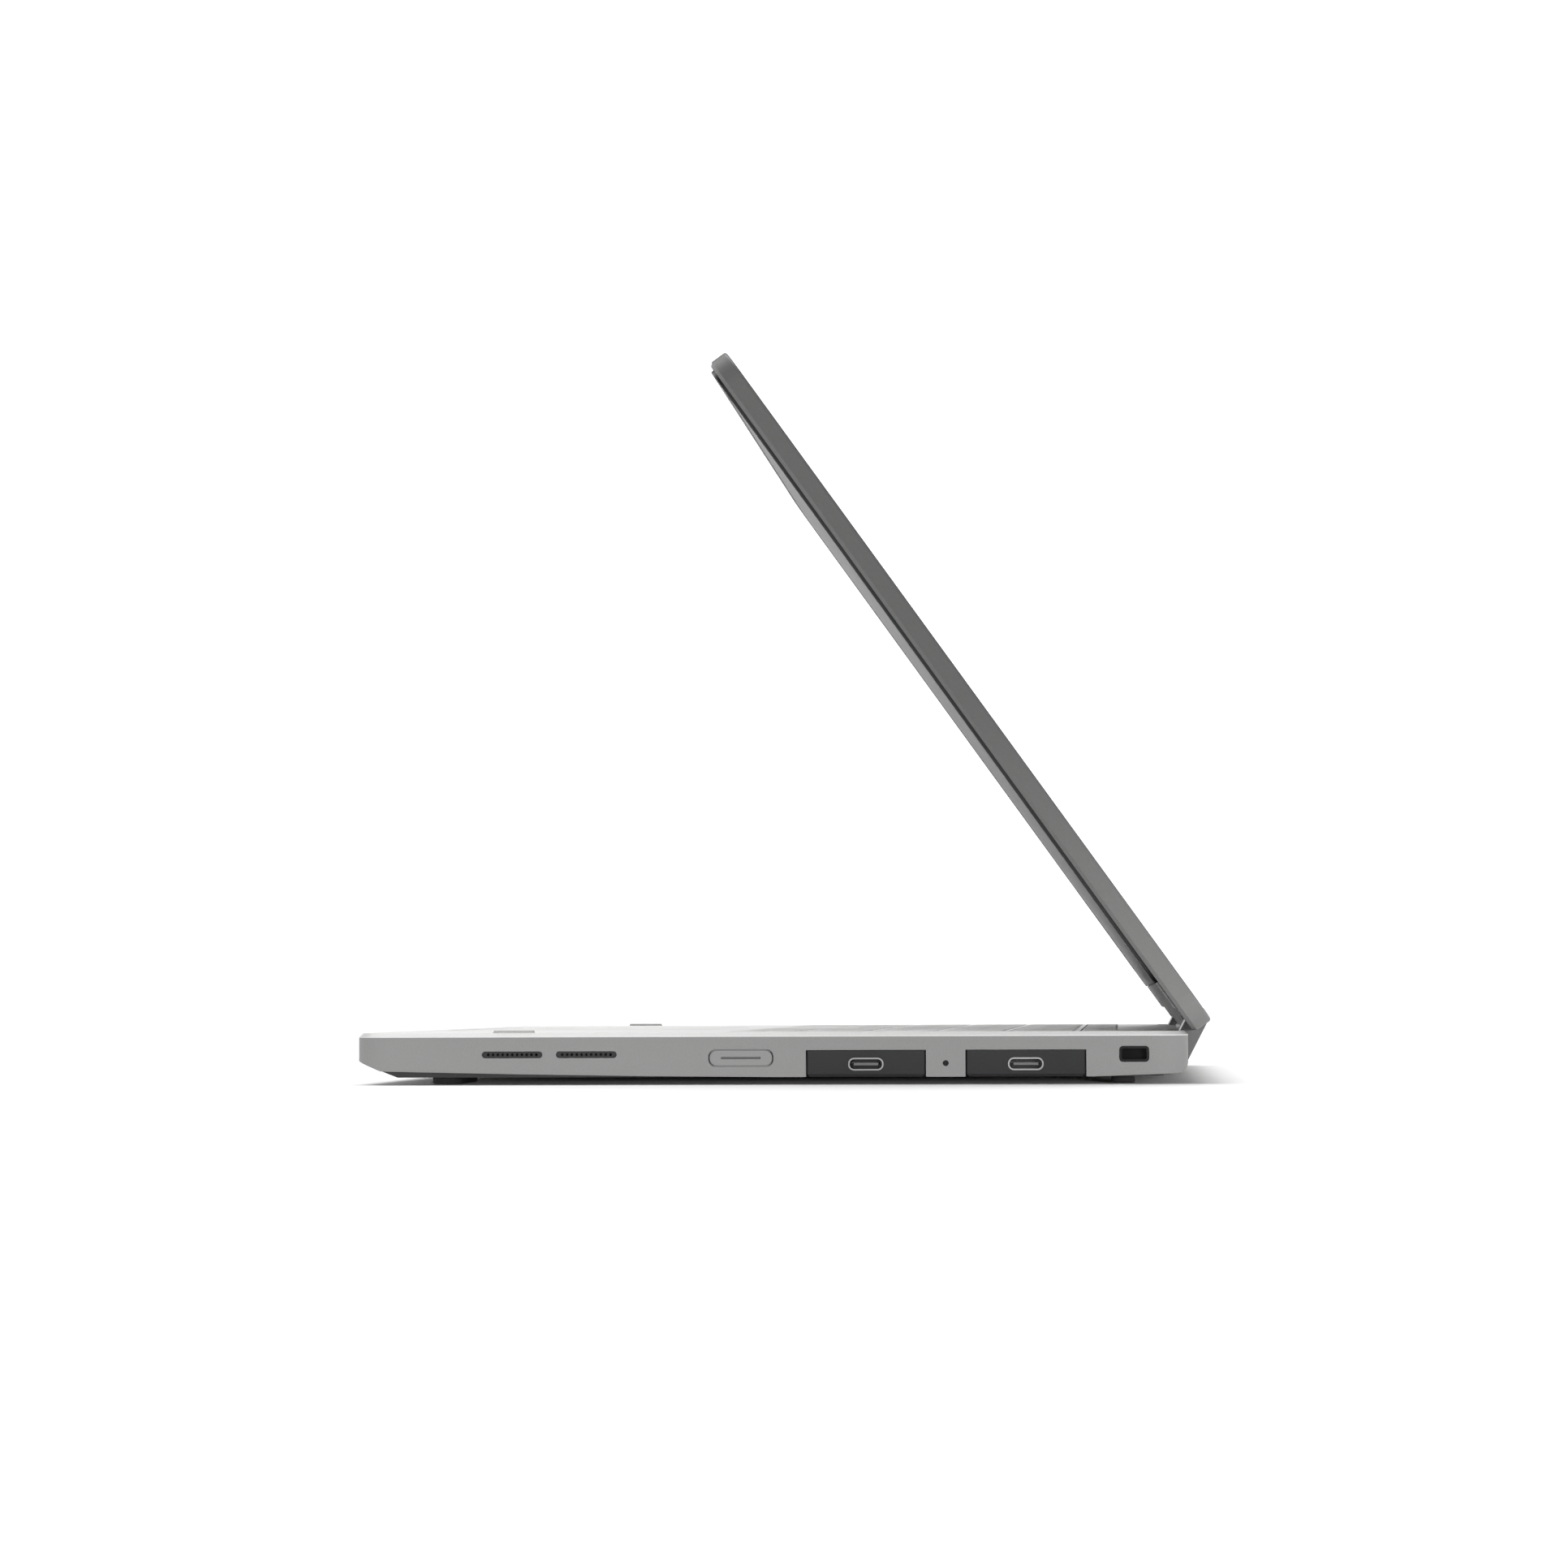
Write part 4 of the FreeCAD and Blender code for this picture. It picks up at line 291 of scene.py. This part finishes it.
def add_legends(material):
    """One flat mesh of legends on each row, which moves with it."""
    for row in ROWS:
        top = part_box(row)[1].z + LEGEND_LIFT * MM
        vertices = []
        faces = []
        for (corners, polygons), x, y in legend_shapes(row):
            start = len(vertices)
            vertices += [((c.x + x) * MM, (c.y + y) * MM, top) for c in corners]
            faces += [tuple(start + index for index in polygon) for polygon in polygons]
        mesh = bpy.data.meshes.new(f"{row}_legends")
        mesh.from_pydata(vertices, [], faces)
        mesh.materials.append(material)
        legends = bpy.data.objects.new(f"{row}_legends", mesh)
        bpy.context.scene.collection.objects.link(legends)
        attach(legends, row)


# Floor, light and camera
FLOOR_HALF = 9.0
# The main light comes from above, from the far side and a little from the front
SUN_PLACE = (0, 0, 2)
SUN_TRAVEL = (0.26, 0.17, -0.95)
SUN_POWER = 3.05
SUN_ANGLE = math.radians(60)
STRIP_PLACE = (1.65, 0.35, 0.05)
STRIP_TRAVEL = (-1.51, -0.35, -0.075)
STRIP_WIDTH = 0.8
STRIP_HEIGHT = 0.06
STRIP_SPREAD = math.radians(9)
STRIP_POWER = 0.50
# The horizon is white up to a height, given as a sine, which is less on the side of the camera,
# from one share of the X axis in the direction to another
BESIDE = 0.45
BEFORE = 0.85
BAND_HEIGHT = 0.28
BAND_BEFORE = 0.10
BAND_FADE = 0.20
BAND_STRENGTH = 2.0
SKY_STRENGTH = 0.05


def add_floor():
    signs = ((-1, -1), (1, -1), (1, 1), (-1, 1))
    corners = [(x * FLOOR_HALF, y * FLOOR_HALF, 0.0) for x, y in signs]
    mesh = bpy.data.meshes.new("floor")
    mesh.from_pydata(corners, [], [(0, 1, 2, 3)])
    mesh.materials.append(make_finish("floor_white", *FLOOR_FINISH))
    floor = bpy.data.objects.new("floor", mesh)
    bpy.context.scene.collection.objects.link(floor)


def add_light(name, lamp, place, travel, power):
    lamp.energy = power
    light = bpy.data.objects.new(name, lamp)
    light.location = place
    light.rotation_euler = Vector(travel).to_track_quat("-Z", "Y").to_euler()
    light.visible_camera = False
    bpy.context.scene.collection.objects.link(light)
    return light


def add_lights():
    """A wide soft light from above, and a low strip that reaches the base more than the top of the lid."""
    sun = bpy.data.lights.new("overhead", "SUN")
    sun.angle = SUN_ANGLE
    add_light("overhead", sun, SUN_PLACE, SUN_TRAVEL, SUN_POWER)
    strip = bpy.data.lights.new("low_strip", "AREA")
    strip.shape = "RECTANGLE"
    strip.size = STRIP_WIDTH
    strip.size_y = STRIP_HEIGHT
    strip.spread = STRIP_SPREAD
    light = add_light("low_strip", strip, STRIP_PLACE, STRIP_TRAVEL, STRIP_POWER)
    light.visible_glossy = False


def add_sky():
    """A dim sky with a white band along the horizon."""
    world = bpy.data.worlds.new("studio")
    world.use_nodes = True
    tree = world.node_tree
    background = tree.nodes["Background"]
    background.inputs["Color"].default_value = (1.0, 1.0, 1.0, 1.0)
    parts = tree.nodes.new("ShaderNodeSeparateXYZ")
    tree.links.new(tree.nodes.new("ShaderNodeTexCoord").outputs["Generated"], parts.inputs["Vector"])
    edge = stretch(tree, parts.outputs["X"], BESIDE, BEFORE, BAND_HEIGHT, BAND_BEFORE)
    above = calculate(tree, "SUBTRACT", parts.outputs["Z"], edge)
    strength = stretch(tree, above, 0.0, BAND_FADE, BAND_STRENGTH, SKY_STRENGTH)
    tree.links.new(strength, background.inputs["Strength"])
    bpy.context.scene.world = world


CAMERA_PLACE = (1.1435, 0.0850, 0.0210)
CAMERA_TARGET = (0.1484, 0.0021, 0.0756)
CAMERA_ROLL = math.radians(-0.215)
CAMERA_LENS = 91.18
SENSOR_WIDTH = 36.0


def add_camera():
    settings = bpy.data.cameras.new("photo")
    settings.lens = CAMERA_LENS
    settings.sensor_width = SENSOR_WIDTH
    camera = bpy.data.objects.new("photo", settings)
    camera.location = CAMERA_PLACE
    aim = Vector(CAMERA_TARGET) - Vector(CAMERA_PLACE)
    turn = aim.to_track_quat("-Z", "Y") @ Quaternion((0, 0, 1), CAMERA_ROLL)
    camera.rotation_euler = turn.to_euler()
    bpy.context.scene.collection.objects.link(camera)
    bpy.context.scene.camera = camera


paint_nodes()
add_legends(make_finish("key_legend", *LEGEND_FINISH))
add_floor()
add_lights()
add_sky()
add_camera()
bpy.context.scene.view_settings.view_transform = "Standard"
